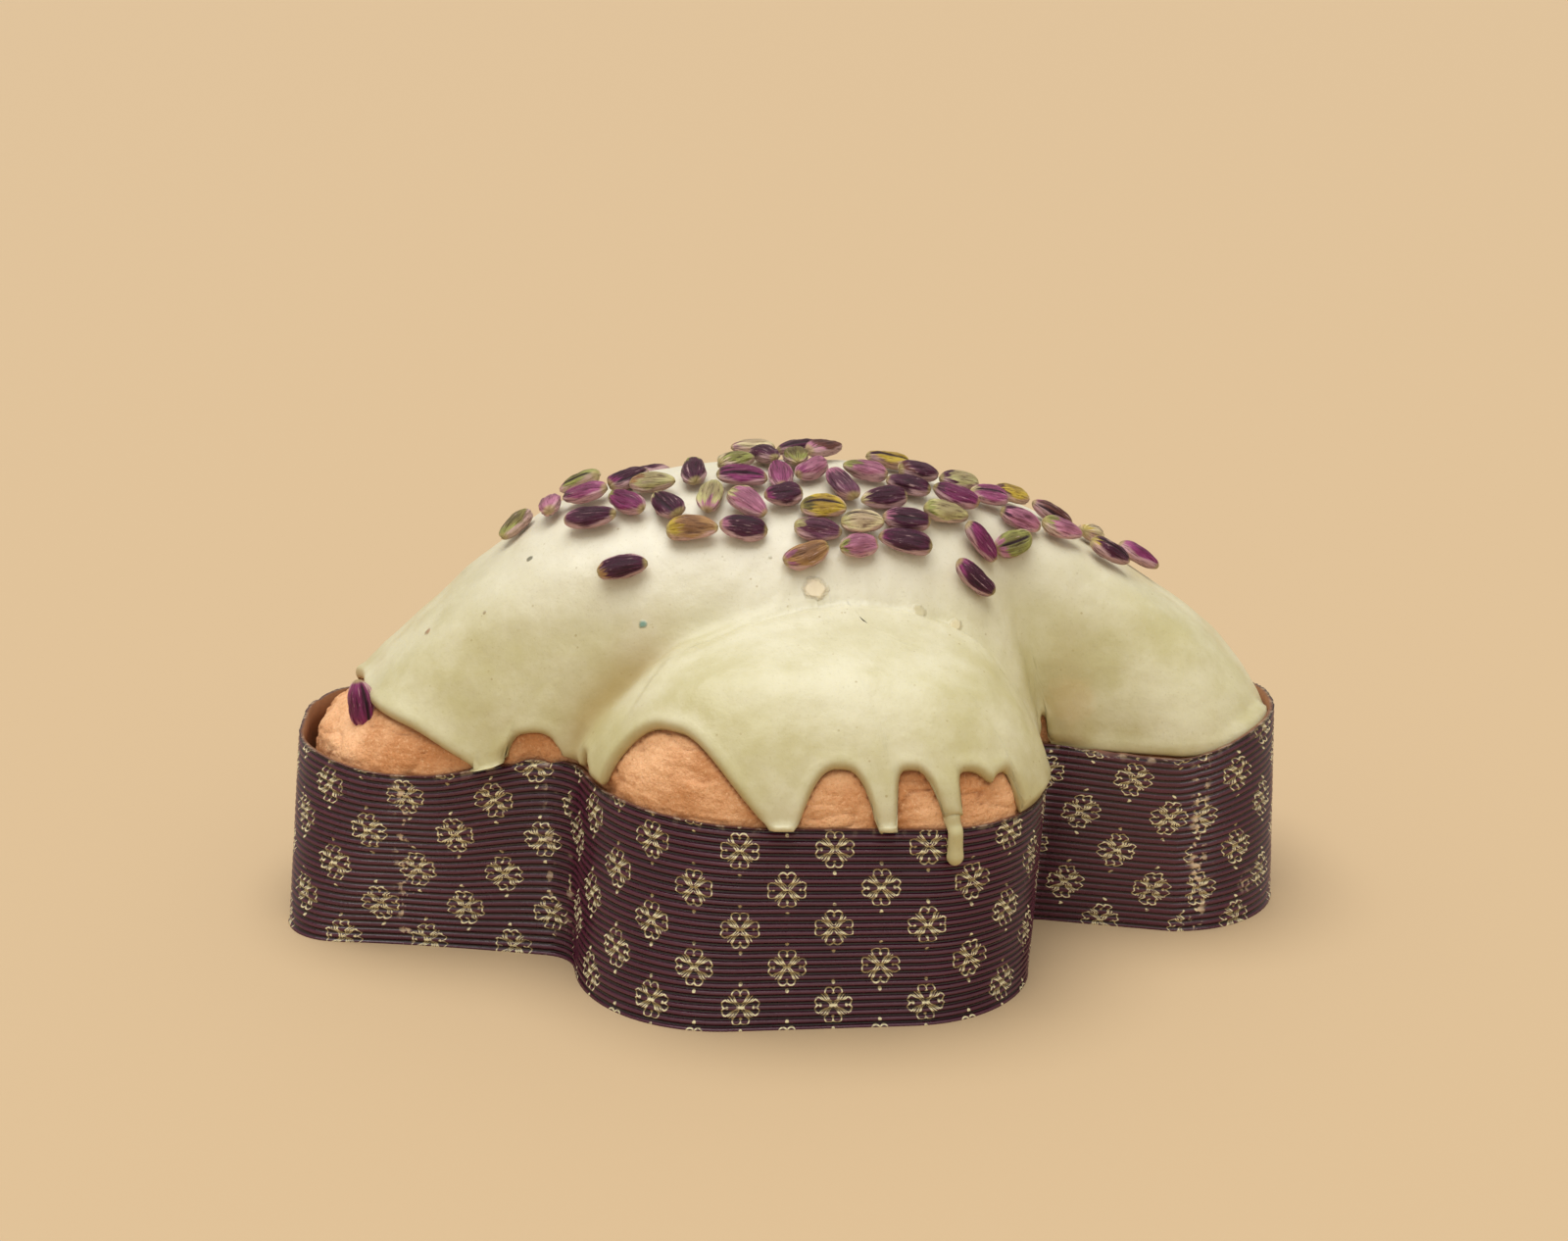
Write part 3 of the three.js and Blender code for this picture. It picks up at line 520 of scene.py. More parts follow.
# %% Windows and drips
# Windows of bare crust between the drips: (start, peak, end, height, squareness up to the peak
# and after it).
BARE_WINDOWS = [
    (-38, 25, 81.2, 14, 3, 3.4), (89.6, 95, 108.5, 8, 5, 2.5), (118.5, 122, 126, 5, 3, 3),
    (134, 157, 186.5, 20, 3.6, 1.7), (195, 207, 216.6, 15, 2.4, 4), (221.9, 229, 235.4, 15, 4, 4),
    (239.8, 245, 256, 14, 4, 2.2), (246, 256, 260, 12, 2.2, 6), (318.8, 322.4, 325, 9, 2, 3),
    (452, 463, 478, 7, 3, 3), (503, 509, 515, 5, 2, 2), (566, 577, 586, 9, 3, 3),
    (592, 606, 617, 15, 3, 3), (622, 640, 660, 17, 2.5, 2.5), (665, 672, 679, 11, 4, 4),
    (683, 702, 716, 14, 2.5, 2.5), (742, 748, 754, 6, 2, 2), (760, 774, 790, 9, 3, 3),
]
# Drips over the rim. Short ones, (place, half width, length, how pointed), belong to the sheet's
# edge, and long ones, (place, half width, length), get a rounded body of their own.
SHORT_RUNS = [(85.6, 3.7, 0.8, 0.3), (190.8, 3.9, 0.5, 0.3), (219.2, 2.7, 1.2, 0.7),
              (662.5, 2.8, 3, 0.8), (757, 3, 3, 0.8)]
LONG_RUNS = [(237.6, 2.5, 10.5), (619.5, 2.6, 10), (681, 2.5, 14)]
BELOW_RIM = -4  # the edge's plain height where it is tucked in
ROOT_BARE = 3.2  # a long drip's root stays this high, and the drip's own body covers it


def bare_height(place):
    """How far the glaze's edge stays above the rim, or below it where a drip runs."""
    bare = mix(OVER_RIM, BELOW_RIM, tucked(place % INNER))
    for start, peak, end, height, rising, falling in BARE_WINDOWS:
        for turn in (0, INNER):
            along_rim = place - turn - peak
            u = np.abs(along_rim) / np.where(along_rim < 0, peak - start, end - peak)
            squareness = np.where(along_rim < 0, rising, falling)
            bare = np.maximum(bare, height * (1 - np.minimum(u, 9) ** squareness))
    for centre, half_width, length, pointed in SHORT_RUNS:
        u = np.abs(place - centre) / half_width
        rounding = pointed * half_width * (1 - np.sqrt(1 - np.minimum(u, 1) ** 2))
        run = mix(rounding - length, bare, smooth(0.85, 1.4, u))
        bare = np.where(u < 1.4, np.minimum(bare, run), bare)
    for centre, half_width, _ in LONG_RUNS:
        u = np.minimum(np.abs(place - centre) / half_width / 1.6, 1)
        bare = np.maximum(bare, ROOT_BARE * (1 - u**4))
    return bare


def edge_length(path, length, rim, bare):
    """The length along each way at which the glaze's edge lies."""
    edge = np.empty(path.shape[1])
    for k in range(path.shape[1]):
        z = np.maximum.accumulate(path[:, k, 2])
        edge[k] = np.interp(rim[k] + bare[k], z, length[:, k])
    return edge


print(len(BARE_WINDOWS), "windows and", len(SHORT_RUNS) + len(LONG_RUNS), "drips; the edge is",
      f"{bare_height(np.arange(0, INNER, 0.5)).max():.1f} mm above the rim at most")

# %% [markdown]
# ## The crust
# Bare crust shows only in the windows between the drips. Its rows are close together there and
# wide apart where glaze covers them, so a modest mesh can still carry real crags. Under the glaze
# the relief is faded out and the crust sunk a little, so that the two skins never meet. A Displace
# modifier would roughen it all evenly; the sums below put the crags where the crust is bare.

# %% Rows of the crust
CRUST_COLUMNS = 620
BARE_BAND = 27  # how far in from the rim a window can reach, in millimetres
SUNK = 0.8
BOTTOM = 2.2
places = np.arange(CRUST_COLUMNS) / CRUST_COLUMNS * INNER
path, length, rim = ways(places, over_paper=False)
edge = edge_length(path, length, rim, np.maximum(bare_height(places), 0))
at_rim = length[1]
total = length[-1]
near = np.linspace(-5, BARE_BAND, 54)[:, None] + at_rim
far = mix(at_rim + BARE_BAND, total, np.linspace(0, 1, 36)[1:-1, None])
wanted = np.concatenate([near, far])
surface = along(path, length, wanted)
normals = surface_normals(surface)
print(f"crust: {len(near)} close rows and {len(far)} wide ones, {CRUST_COLUMNS} columns")

# %% Crags, folds and the crust's skin
bare = smooth(1.2, -0.8, wanted - edge)
crags = 0.55 * fractal(surface, 9.0, 5, 5) + 0.36 * fractal(surface * [1, 1, 2.5], 3.2, 3, 6)
folds = -0.8 * np.exp(-(fractal(surface * [1, 1, 2.6], 34.0, 3, 7) / 0.05) ** 2)
swell = 0.9 * fractal(surface * [1, 1, 1.5], 30.0, 2, 8)
lift = np.clip(bare * (crags + folds + swell - 0.1), -2.2, 0.75) - 0.06
lift -= SUNK * smooth(5, 12, wanted - edge)
surface += normals * lift[..., None]
bottom_x, bottom_y = outline(np.interp(places, inner_place, inner_angle), 0.05, PAPER + 0.6)
bottom = np.stack([bottom_x, bottom_y, 0 * bottom_x + BOTTOM], -1)[None]
middle = np.array([0, 0, float(cake_top(0.0, 0.0))])
rings = np.concatenate([0 * bottom + [0, 0, BOTTOM], bottom, surface, 0 * bottom + middle])
pad = np.zeros((2, CRUST_COLUMNS))
# Painted shadow: how near a crust point lies to the glaze's edge, where the lip's shade falls.
lip_shadow_share = np.exp(-np.abs(wanted - edge) / 1.6)
crust = skin("baked_crust", rings, {
    "lip": np.concatenate([pad, lip_shadow_share, pad[:1]]),
    "crag": np.concatenate([pad, lift, pad[:1]]),
})
report(crust)

# %% [markdown]
# ## The glaze
# The glaze is one closed skin, 2.8 mm thick, whose edge follows the windows and drips. Its lip is
# round because the thickness grows with the distance to the edge, measured over the surface in
# both directions; that rounds the sides of a narrow drip as well as its end. A Solidify modifier
# would give the same thickness everywhere, with a square edge. Columns crowd together at the
# drips, where the edge turns fast, and in the hollows, where the ways spread apart.

# %% Columns of the glaze
COARSE_WAYS = 400
COLUMN_STEP = 0.05
WATCHED_ROWS = [2, 25, 45, 62]  # rows of a way at which the gap to the next way is measured
coarse = np.linspace(0, INNER, COARSE_WAYS, endpoint=False)
coarse_path, coarse_length, coarse_rim = ways(coarse, over_paper=True)


def glaze_places():
    """Columns along the rim, closer where the edge climbs and where the ways spread out."""
    fine = np.arange(0, INNER, COLUMN_STEP)
    climb = np.abs(np.gradient(bare_height(fine), COLUMN_STEP))
    gap = np.linalg.norm(np.roll(coarse_path, -1, axis=1) - coarse_path, axis=-1)[WATCHED_ROWS]
    pitch = INNER / COARSE_WAYS
    spread = np.interp(fine, coarse + pitch / 2, gap.max(0) / pitch, period=INNER)
    density = np.clip(spread, 1, 9) / 1.6 + np.minimum(climb, 6) * 0.22
    count = np.concatenate([[0], np.cumsum(density) * COLUMN_STEP])[:-1]
    total_count = int(count[-1])
    return np.interp(np.arange(total_count), count, fine)


places = glaze_places()
path, length, rim = ways(places, over_paper=True)
edge = edge_length(path, length, rim, bare_height(places))
print(f"glaze: {len(places)} columns, {np.diff(places).min():.2f} to {np.diff(places).max():.2f} mm apart")


# %% Distance to the glaze's edge
FINE_STEP = 0.15


def edge_distance(place, length_at, edge_place, edge_at, reach=90):
    """Distance over the surface to the glaze's edge, searched among near edge points."""
    step = edge_place[1] - edge_place[0]
    nearest = np.full(length_at.shape, 99.0)
    start = np.rint(place / step).astype(int)
    for shift in range(-reach, reach + 1):
        k = (start + shift) % len(edge_place)
        across = shift * step + (start * step - place)
        nearest = np.minimum(nearest, np.hypot(across, length_at - edge_at[k]))
    return nearest


# The edge's length along a way is worked out for coarse ways and a range of heights, and then read
# off between them for every fine place, because a way for each of those would be slow.
fine_places = np.linspace(0, INNER, int(INNER / FINE_STEP), endpoint=False)
bare_fine = bare_height(fine_places)
heights_asked = np.linspace(-16, 22, 77)
table = np.array([edge_length(coarse_path, coarse_length, coarse_rim, np.full_like(coarse, h))
                  for h in heights_asked])
column_at = np.interp(fine_places, coarse, np.arange(len(coarse)), period=INNER)
row_at = np.interp(bare_fine, heights_asked, np.arange(len(heights_asked)))
r0 = np.floor(row_at).astype(int).clip(0, len(heights_asked) - 2)
c0 = np.floor(column_at).astype(int)
fr, fc = row_at - r0, column_at - c0
c0, c1 = c0 % COARSE_WAYS, (c0 + 1) % COARSE_WAYS
fine_edge = mix(mix(table[r0, c0], table[r0, c1], fc),
                mix(table[r0 + 1, c0], table[r0 + 1, c1], fc), fr)
print(f"the glaze's edge is known at {len(fine_places)} places")

# %% Rows of the glaze
LIP_RADIUS = 1.9
first_rows = np.array([0, 0.2, 0.5, 0.9, 1.4, 2.0, 2.8, 3.8, 5.0, 6.6, 8.4])
shares = np.linspace(0, 1, 78)[1:-1] ** 1.1
start_rows = edge + first_rows[:, None]
wanted = np.concatenate([start_rows, mix(start_rows[-1], length[-1], shares[:, None])])
surface = along(path, length, wanted)
normals = surface_normals(surface)
away = edge_distance(places[None] + 0 * wanted, wanted, fine_places, fine_edge)
away[0] = 0
print(f"{len(wanted)} rows, the middle one up to {away[len(away) // 2].max():.0f} mm from the edge")

# %% Lip, bead and drip ridges
bead = 0.4 * np.exp(-((away - 2.6) / 1.6) ** 2)
rounded = np.sqrt(1 - (1 - np.clip(away / LIP_RADIUS, 0, 1)) ** 2)
drip_ridge = np.zeros_like(away)
for centre, half_width, *_ in SHORT_RUNS + LONG_RUNS:
    side_share = np.clip(np.abs(places - centre) / (half_width * 2.2), 0, 1)
    fade = np.exp(-np.maximum(wanted - edge - 7, 0) / 7)
    drip_ridge += (1 - side_share**2) ** 2 * fade * 0.5
print(f"the bead adds {bead.max():.1f} mm and the ridges {drip_ridge.max():.1f} mm")

# %% [markdown]
# ### The fold and the swells
# On the near side the wing's glaze slid a little over the log's and left a soft crease with a
# rounded lip below it. It follows a curve through a few points and is deeper in some stretches
# than in others. Broad swells, four lumps and a finer unevenness keep the rest from looking
# turned on a lathe. Sculpt Mode could do all this by hand, but not twice in the same way.

# %% Fold and swells
FOLD = [(-52, -74), (-47.6, -70.2), (-41.7, -65.8), (-35.4, -61.2), (-23.4, -57.7), (-7.8, -52.5),
        (4.6, -48.7), (16.8, -46.8), (30.8, -46.3), (43.3, -47.4), (52.4, -51), (60, -57)]


def fold(x, y, uneven):
    """A rounded lip on the wing's side of the crease, and the narrow crease above it."""
    across = (y - profile(FOLD, x)) * 0.9
    fade = smooth(-52, -40, x) * smooth(62, 50, x) * (y < 0)
    lip = 0.8 * np.exp(-((across + 3.4) / 3.0) ** 2)
    crease = 0.95 * np.exp(-((across - 0.6) / 1.5) ** 2) + 0.5 * np.exp(-((across - 5) / 5) ** 2)
    return fade * (lip - uneven * crease)


LUMPS = [(33, 31, 6, 0.7), (-96, 12, 6, 0.6), (18, 62, 7, 0.7), (-84, -30, 6, 0.5)]
swell = 0.6 * fractal(surface, 34.0, 3, 11) + 0.22 * fractal(surface, 8.0, 3, 12)
lumps = np.zeros_like(away)
for x, y, radius, height in LUMPS:
    off = ((surface[..., 0] - x) ** 2 + (surface[..., 1] - y) ** 2) / radius**2
    lumps += height * np.exp(-off)
inland = smooth(3, 9, away)
uneven = np.clip(0.85 + 1.1 * fractal(surface * [1, 0.6, 0], 11.0, 3, 21), 0.1, 1.6)
form = swell + lumps + fold(surface[..., 0], surface[..., 1], uneven)
print(f"the glaze's form swings from {form.min():.1f} to {form.max():.1f} mm")

# %% Both faces of the glaze
THICKNESS = 2.8
UNDERSIDE = 0.3
TAIL_CORNER = 402  # past this place the tucked edge keeps its own thickness
thick = rounded * (THICKNESS + bead + drip_ridge + inland * form - 0.35)
# Below the paper's rim the tucked glaze reaches just to the paper's inner face.
sx, sy = surface[..., 0], surface[..., 1]
to_paper = -plan_distance(sx, sy, 1) - PAPER - UNDERSIDE - 0.3
below_rim = smooth(3.0, -0.5, surface[..., 2] - paper_height(sx, sy)) * tucked(places)
below_rim = np.where(places < TAIL_CORNER, below_rim, 0)
thick = mix(thick, np.clip(to_paper, 0, 6), below_rim * rounded)
# Painted shade: the coat is darkened and yellowed in the valley on the head's side of the wing, and less
# in the tail's notch.
valley_shade = smooth(-74, -60, sx) * smooth(-28, -46, sx) * np.exp(-((sy + 54) / 6.5) ** 2)
valley_shade += 0.5 * np.exp(-((sx - 80) / 7) ** 2 - ((sy + 36) / 6) ** 2)
outer_skin = surface + normals * (UNDERSIDE + 0.15 + np.maximum(thick, 0))[..., None]
# The underside makes do with some of the rows, because only its outline near the lip shows.
inner_rows = [*range(len(wanted) - 1, 12, -5), 10, 6, 2]
inner_skin = (surface + normals * UNDERSIDE)[inner_rows]
poles = [np.array([0, 0, middle[2] + lift_mm]) for lift_mm in (UNDERSIDE, UNDERSIDE + THICKNESS)]
rings = np.concatenate([0 * outer_skin[:1] + poles[0], inner_skin, outer_skin,
                        0 * outer_skin[:1] + poles[1]])
pad = np.zeros((len(inner_rows) + 1, len(places)))
lip = np.concatenate([pad + 9, away, pad[:1] + 99])
glaze = skin("glaze_coat", rings, {
    "from_edge": np.minimum(lip, 30),
    "valley_shade": np.concatenate([pad, valley_shade, pad[:1]]),
})
report(glaze)

# %% [markdown]
# ### Long drips
# Three drips run well down the paper. The sheet's columns would be stretched thin there, so each
# long drip is a small closed body of its own, rooted inside the sheet: a line of points down the
# paper, a half-round section that widens to a blunt, heavier end, and 24 points round it. A bevelled
# curve would be round on the paper's side too. The bodies are joined to the glaze's mesh.

# %% Long drips
DRIP_TURNS = 24


def spine_of(values, reach):
    """A line of points with its corners softened over some rows to either side."""
    padded = np.concatenate([values[:1]] * reach + [values] + [values[-1:]] * reach)
    return sum(padded[k:k + len(values)] for k in range(2 * reach + 1)) / (2 * reach + 1)


def long_drip(centre, half_width, run_length):
    """A drip's own body, from inside the sheet down over the rim to its blunt, heavier end."""
    way, way_length, way_rim = ways(np.array([float(centre)]), over_paper=True)
    bottom, top = (edge_length(way, way_length, way_rim, np.array([h]))[0]
                   for h in (-run_length, 10.0))
    from_end = np.linspace(0, 2.5, 12) ** 1.5 / 2.5**0.5
    from_end = np.concatenate([from_end, np.arange(3, top - bottom, 0.5)])
    line = along(way, way_length, (bottom + from_end)[:, None])[:, 0]
    out = spine_of(surface_normals(line), 6)
    out /= np.linalg.norm(out, axis=-1, keepdims=True)
    line = spine_of(line, 3)
    side = np.cross(out, np.gradient(line, axis=0) + 1e-9)
    side /= np.linalg.norm(side, axis=-1, keepdims=True)
    end = np.sqrt(1 - (1 - np.clip(from_end / (1.15 * half_width), 0, 1)) ** 2)
    bulb = np.exp(-((from_end - 2.4) / 2.2) ** 2)
    above = np.maximum(from_end - run_length - 1.5, 0)
    width = half_width * end * (0.86 + 0.12 * bulb) + 0.10 * above
    height = end * (2.3 + 0.5 * bulb) + 0.9 * smooth(0, 3, above) - 0.5 * np.maximum(above - 3.5, 0)
    height = np.maximum(height, 0.3)
    turn = np.arange(DRIP_TURNS) / DRIP_TURNS * math.tau
    up = np.where(np.sin(turn) > 0, np.sin(turn), 0.25 * np.sin(turn))
    rings = (line[:, None] + side[:, None] * (width[:, None] * np.cos(turn))[..., None]
             + out[:, None] * (height[:, None] * up)[..., None])
    ends = [np.repeat(line[k][None, None], DRIP_TURNS, axis=1) for k in (0, -1)]
    rings = np.concatenate([ends[0], rings[1:], ends[1]])
    return skin("drip", rings, {"from_edge": np.full(rings.shape[:2], 4.0),
                                "valley_shade": np.zeros(rings.shape[:2])})


bm = bmesh.new()
bm.from_mesh(glaze.data)
for run in LONG_RUNS:
    drip = long_drip(*run)
    bm.from_mesh(drip.data)
    bpy.data.objects.remove(drip)
bm.to_mesh(glaze.data)
bm.free()
report(glaze)

# %% [markdown]
# ## Pistachios
# Each nut sits where its CAD solid sits: the solid's principal axes give its heading, its way up
# and its size. The form is an operator's UV sphere pulled into a blunt seed with a seam between
# its halves, a flatter belly and lengthwise wrinkles. Nuts of one colouring are joined, so that
# fifty-seven nuts are three pieces. One instanced nut would be lighter, but no two are alike.

# %% Skins of the nuts
def srgb(red, green, blue):
    """A colour read off in 0 to 255 as the linear one that shaders use."""
    linear = [(v / 255 / 12.92) if v <= 10 else ((v / 255 + 0.055) / 1.055) ** 2.4
              for v in (red, green, blue)]
    return (*linear, 1.0)


TONES = {
    "purple": (80, 26, 56), "magenta": (138, 50, 102), "dusky": (112, 62, 86),
    "pink": (192, 124, 150), "olive": (132, 122, 62), "green": (156, 158, 84),
    "pale": (202, 194, 134), "cream": (224, 208, 160), "tan": (176, 134, 86),
    "yellow": (206, 178, 66), "brown": (104, 58, 50), "rose": (166, 84, 128),
}
# Each nut's skin, from head to tail: its body's tone, its ends' tone and the ends' share.
SKINS = """
magenta pink .3|olive green .5|pink cream .4|green pink .3|rose purple .4|purple pink .25|
purple magenta .4|pale tan .4|magenta green .35|purple pale .3|purple tan .25|tan yellow .5|
purple pink .3|purple green .45|pale pink .4|green cream .4|cream magenta .4|purple cream .35|
magenta purple .5|rose magenta .4|pink pale .4|purple dusky .3|olive green .4|brown pink .35|
pink rose .4|dusky pink .4|purple magenta .3|yellow olive .4|dusky pale .3|tan pink .35|
cream pale .4|pink green .45|purple magenta .3|purple pink .3|purple cream .3|pink green .5|
yellow purple .45|purple dusky .4|purple brown .4|pale green .4|magenta purple .3|pale purple .5|
rose cream .35|magenta purple .35|purple magenta .4|green pink .4|pink purple .4|yellow brown .5|
brown rose .3|pink green .5|cream yellow .4|purple yellow .25|magenta rose .3|purple pink .3|
green pink .4|rose purple .4|magenta cream .3
""".replace("\n", "").split("|")
print(len(SKINS), "skins mixed from", len(TONES), "tones")

# %% Axes of a CAD nut
# The nut at the head's end stands on its tip against the glaze's edge.
STANDING_NUT = 0
STANDING_AXIS, STANDING_BACK = np.array([0.10, -0.30, -0.95]), np.array([0.35, 0.90, -0.2])
STANDING_SHIFT, STANDING_HALF = [1.4, -3.4, -4.9], np.array([7.3, 4.7, 3.4])


def nut_axes(node):
    """Centre, axes and half sizes of a CAD nut, in millimetres, from its own corners."""
    corners = np.array([node.matrix_world @ v.co for v in node.data.vertices]) / MM
    centre = corners.mean(0)
    _, axes = np.linalg.eigh(np.cov((corners - centre).T))
    along_axis, up = axes[:, 2], axes[:, 0]
    up = up * np.sign(up[2]) if abs(up[2]) > 0.2 else up * -np.sign(up[1])
    nut_frame = np.array([along_axis, np.cross(up, along_axis), up])
    local = (corners - centre) @ nut_frame.T
    low, high = local.min(0), local.max(0)
    return centre + (low + high) / 2 @ nut_frame, nut_frame, (high - low) / 2


def standing_axes(centre):
    """The same three for the standing nut, leaning back on the glaze."""
    along_axis = STANDING_AXIS / np.linalg.norm(STANDING_AXIS)
    across = np.cross(along_axis, STANDING_BACK)
    across /= np.linalg.norm(across)
    nut_frame = np.array([along_axis, across, np.cross(along_axis, across)])
    return centre + STANDING_SHIFT, nut_frame, STANDING_HALF


nut_nodes = sorted(name for name in nodes if name.startswith("pistachio_") and name[-1].isdigit())
nut_lengths = [2 * nut_axes(nodes[name])[2][0] for name in nut_nodes]
print(f"{len(nut_nodes)} nuts, {min(nut_lengths):.1f} to {max(nut_lengths):.1f} mm long")

# %% Form of one nut
NUT_SEGMENTS, NUT_RINGS = 44, 30
NUT_VALUES = ("share", "seam", "amount", "seed", "turn_x", "turn_y")
OPEN_SEAM, SHUT_SEAM = 0.14, 0.04


def nut_form(ball, half, index):
    """A seed's points and its seam from a unit ball's, with this nut's own bends and wrinkles."""
    share, side, top = ball[:, 2], ball[:, 0], ball[:, 1]
    girth = np.sqrt(np.maximum(1 - share**2, 1e-9))
    angle = np.arctan2(top, side)
    rng = np.random.default_rng(400 + index)
    twist, bend, taper = rng.uniform(-1.2, 1.2), rng.uniform(-0.09, 0.09), rng.uniform(-0.2, 0.2)
    power = np.where(share < 0, rng.uniform(1.8, 3.2), rng.uniform(1.8, 3.2))
    tilt = rng.uniform(-0.10, 0.10)
    spread = np.maximum(1 - np.abs(share) ** power, 0) ** 0.5 / girth
    facets = rng.uniform(0.03, 0.08) * np.cos(3 * angle + rng.uniform(0, 6) + share)
    facets += rng.uniform(0.02, 0.07) * np.cos(2 * angle + rng.uniform(0, 6))
    wrinkle, stripes = np.array([
        (noise.fractal(Vector((s * 1.1, math.cos(a) * 2.0, math.sin(a) * 2.0 + index)), 0.8, 2.0, 3),
         noise.noise(Vector((s * 1.1, math.cos(a) * 5.5, math.sin(a) * 5.5 + index))))
        for s, a in zip(share, angle)]).T
    off_seam = np.angle(np.exp(1j * (angle - math.pi / 2 - twist)))
    seam = np.exp(-(off_seam / 0.13) ** 2) * smooth(1.0, 0.6, np.abs(share))
    depth = OPEN_SEAM if index % 3 == 0 else SHUT_SEAM
    relief = 0.98 + 0.12 * wrinkle + 0.08 * stripes + facets - depth * seam
    spread = spread * relief * (1 + taper * share)
    low_side = np.where(top < 0, 0.86, 1.0)
    local = np.stack([share * half[0] * (1 + 0.03 * wrinkle), side * spread * half[1],
                      top * spread * low_side * half[2] + 0.1], -1)
    local[:, 1] += bend * half[0] * (share**2 - 0.4)
    local[:, 2] += tilt * local[:, 0] + 0.3
    # The seam's last value, scaled by its depth, sets how dark its painted shade is.
    return local, share, angle, seam * depth * 10


def add_nut(bm, layers, index, node):
    """One nut at its CAD solid's place, with its skin's tones and values on its points."""
    centre, axes, half = nut_axes(node)
    if index == STANDING_NUT:
        centre, axes, half = standing_axes(centre)
    made = bmesh.ops.create_uvsphere(bm, u_segments=NUT_SEGMENTS, v_segments=NUT_RINGS, radius=1)
    ball = np.array([v.co for v in made["verts"]])
    local, share, angle, seam = nut_form(ball, half, index)
    body, ends, amount = SKINS[index].split()
    flat = np.ones(len(ball))
    columns = (share, seam, flat * float(amount), flat * index, np.cos(angle), np.sin(angle))
    for vert, spot in zip(made["verts"], (centre + local @ axes) * MM):
        vert.co = spot
        vert[layers["body"]] = srgb(*TONES[body])
        vert[layers["ends"]] = srgb(*TONES[ends])
    for key, column in zip(NUT_VALUES, columns):
        for vert, value in zip(made["verts"], column):
            vert[layers[key]] = value


print("one nut takes", 2 * NUT_SEGMENTS * (NUT_RINGS - 1), "triangles")

# %% All nuts, joined by their colouring
KIND_OF_TONE = {"purple": "purple", "dusky": "purple", "brown": "purple",
                "magenta": "rosy", "rose": "rosy", "pink": "rosy"}
kinds = {"purple": [], "rosy": [], "green": []}
for index, name in enumerate(nut_nodes):
    body = SKINS[index].split()[0]
    kinds[KIND_OF_TONE.get(body, "green")].append((index, name))
nut_pieces = []
for kind, members in kinds.items():
    bm = bmesh.new()
    layers = {key: bm.verts.layers.float.new(key) for key in NUT_VALUES}
    layers |= {key: bm.verts.layers.float_color.new(key) for key in ("body", "ends")}
    for index, name in members:
        add_nut(bm, layers, index, nodes[name])
    piece = finish_mesh(bm, f"pistachios_{kind}")
    report(piece)
    nut_pieces.append((piece, [name for _, name in members]))

# %% [markdown]
# ## Finishes as graphs of nodes
# A material is a graph of nodes. In the Shader Editor it is drawn by hand. Here each helper adds
# one node and hands back the socket that the next one needs, so a finish reads from top to bottom
# like a recipe. All patterns are read from Object coordinates, which are metres on the piece
# itself, or from the values kept on its points, so they stay put from every side.

# %% Adding nodes
def add(tree, kind, inputs=None, **settings):
    """One node, with its settings, and inputs that are either values or other nodes' sockets."""
    made = tree.nodes.new(kind)
    for key, value in settings.items():
        setattr(made, key, value)
    for key, value in (inputs or {}).items():
        if isinstance(value, bpy.types.NodeSocket):
            tree.links.new(value, made.inputs[key])
        else:
            made.inputs[key].default_value = value
    return made


def maths(tree, operation, a, b=0.0, c=0.0, clamp=False):
    made = add(tree, "ShaderNodeMath", {0: a, 1: b, 2: c}, operation=operation, use_clamp=clamp)
    return made.outputs[0]


def ramp(tree, value, low, high, start=0.0, end=1.0):
    """A value's smooth step from start to end as it goes from low to high."""
    made = add(tree, "ShaderNodeMapRange", {"Value": value, "From Min": low, "From Max": high,
                                            "To Min": start, "To Max": end},
               interpolation_type="SMOOTHSTEP")
    return made.outputs["Result"]


def blend(tree, factor, a, b, kind="MIX"):
    """Colour a turned into colour b by a factor."""
    made = add(tree, "ShaderNodeMix", {0: factor, 6: a, 7: b}, data_type="RGBA", blend_type=kind)
    return made.outputs[2]


print("node helpers ready: add, maths, ramp, blend")


# %% Patterns, stored values, relief and new materials
def noise_value(tree, vector, scale, detail=4.0, roughness=0.55):
    made = add(tree, "ShaderNodeTexNoise", {"Vector": vector, "Scale": scale, "Detail": detail,
                                            "Roughness": roughness})
    return made.outputs["Fac"]


def attribute(tree, name, output="Fac"):
    """A value that the mesh keeps on its points."""
    return add(tree, "ShaderNodeAttribute", attribute_name=name).outputs[output]


def bump(tree, height, strength, distance, normal=None):
    """A normal tilted by a height, on top of another bump where one is given."""
    inputs = {"Height": height, "Strength": strength, "Distance": distance}
    if normal is not None:
        inputs["Normal"] = normal
    return add(tree, "ShaderNodeBump", inputs).outputs["Normal"]


def material(name):
    """A new material: itself, its tree, its Principled BSDF and the piece's own coordinates."""
    made = bpy.data.materials.new(name)
    made.use_nodes = True
    tree = made.node_tree
    shader = tree.nodes["Principled BSDF"]
    place = add(tree, "ShaderNodeTexCoord").outputs["Object"]
    return made, tree, shader, place


def settle(shader, values):
    """Values that are the same all over a piece go straight onto the shader's own sockets."""
    for socket, value in values.items():
        shader.inputs[socket].default_value = value


print("a mid tone of 128 is", round(srgb(128, 128, 128)[0], 3), "to a shader")

# %% [markdown]
# ## Effects that several finishes share
# Crust and glaze are both cloudy, several finishes take on a tint where some noise or stored value
# is high, and paper and glaze both carry marks at places of their own. Each of these is a node
# group, built once and placed in every material with its own values. Copied nodes would look the
# same, but a later change would have to be made in each copy. Only colours and masks leave a
# group; the shaders stay in the materials.

# %% Node groups
VALUE, COLOUR, VECTOR = "NodeSocketFloat", "NodeSocketColor", "NodeSocketVector"


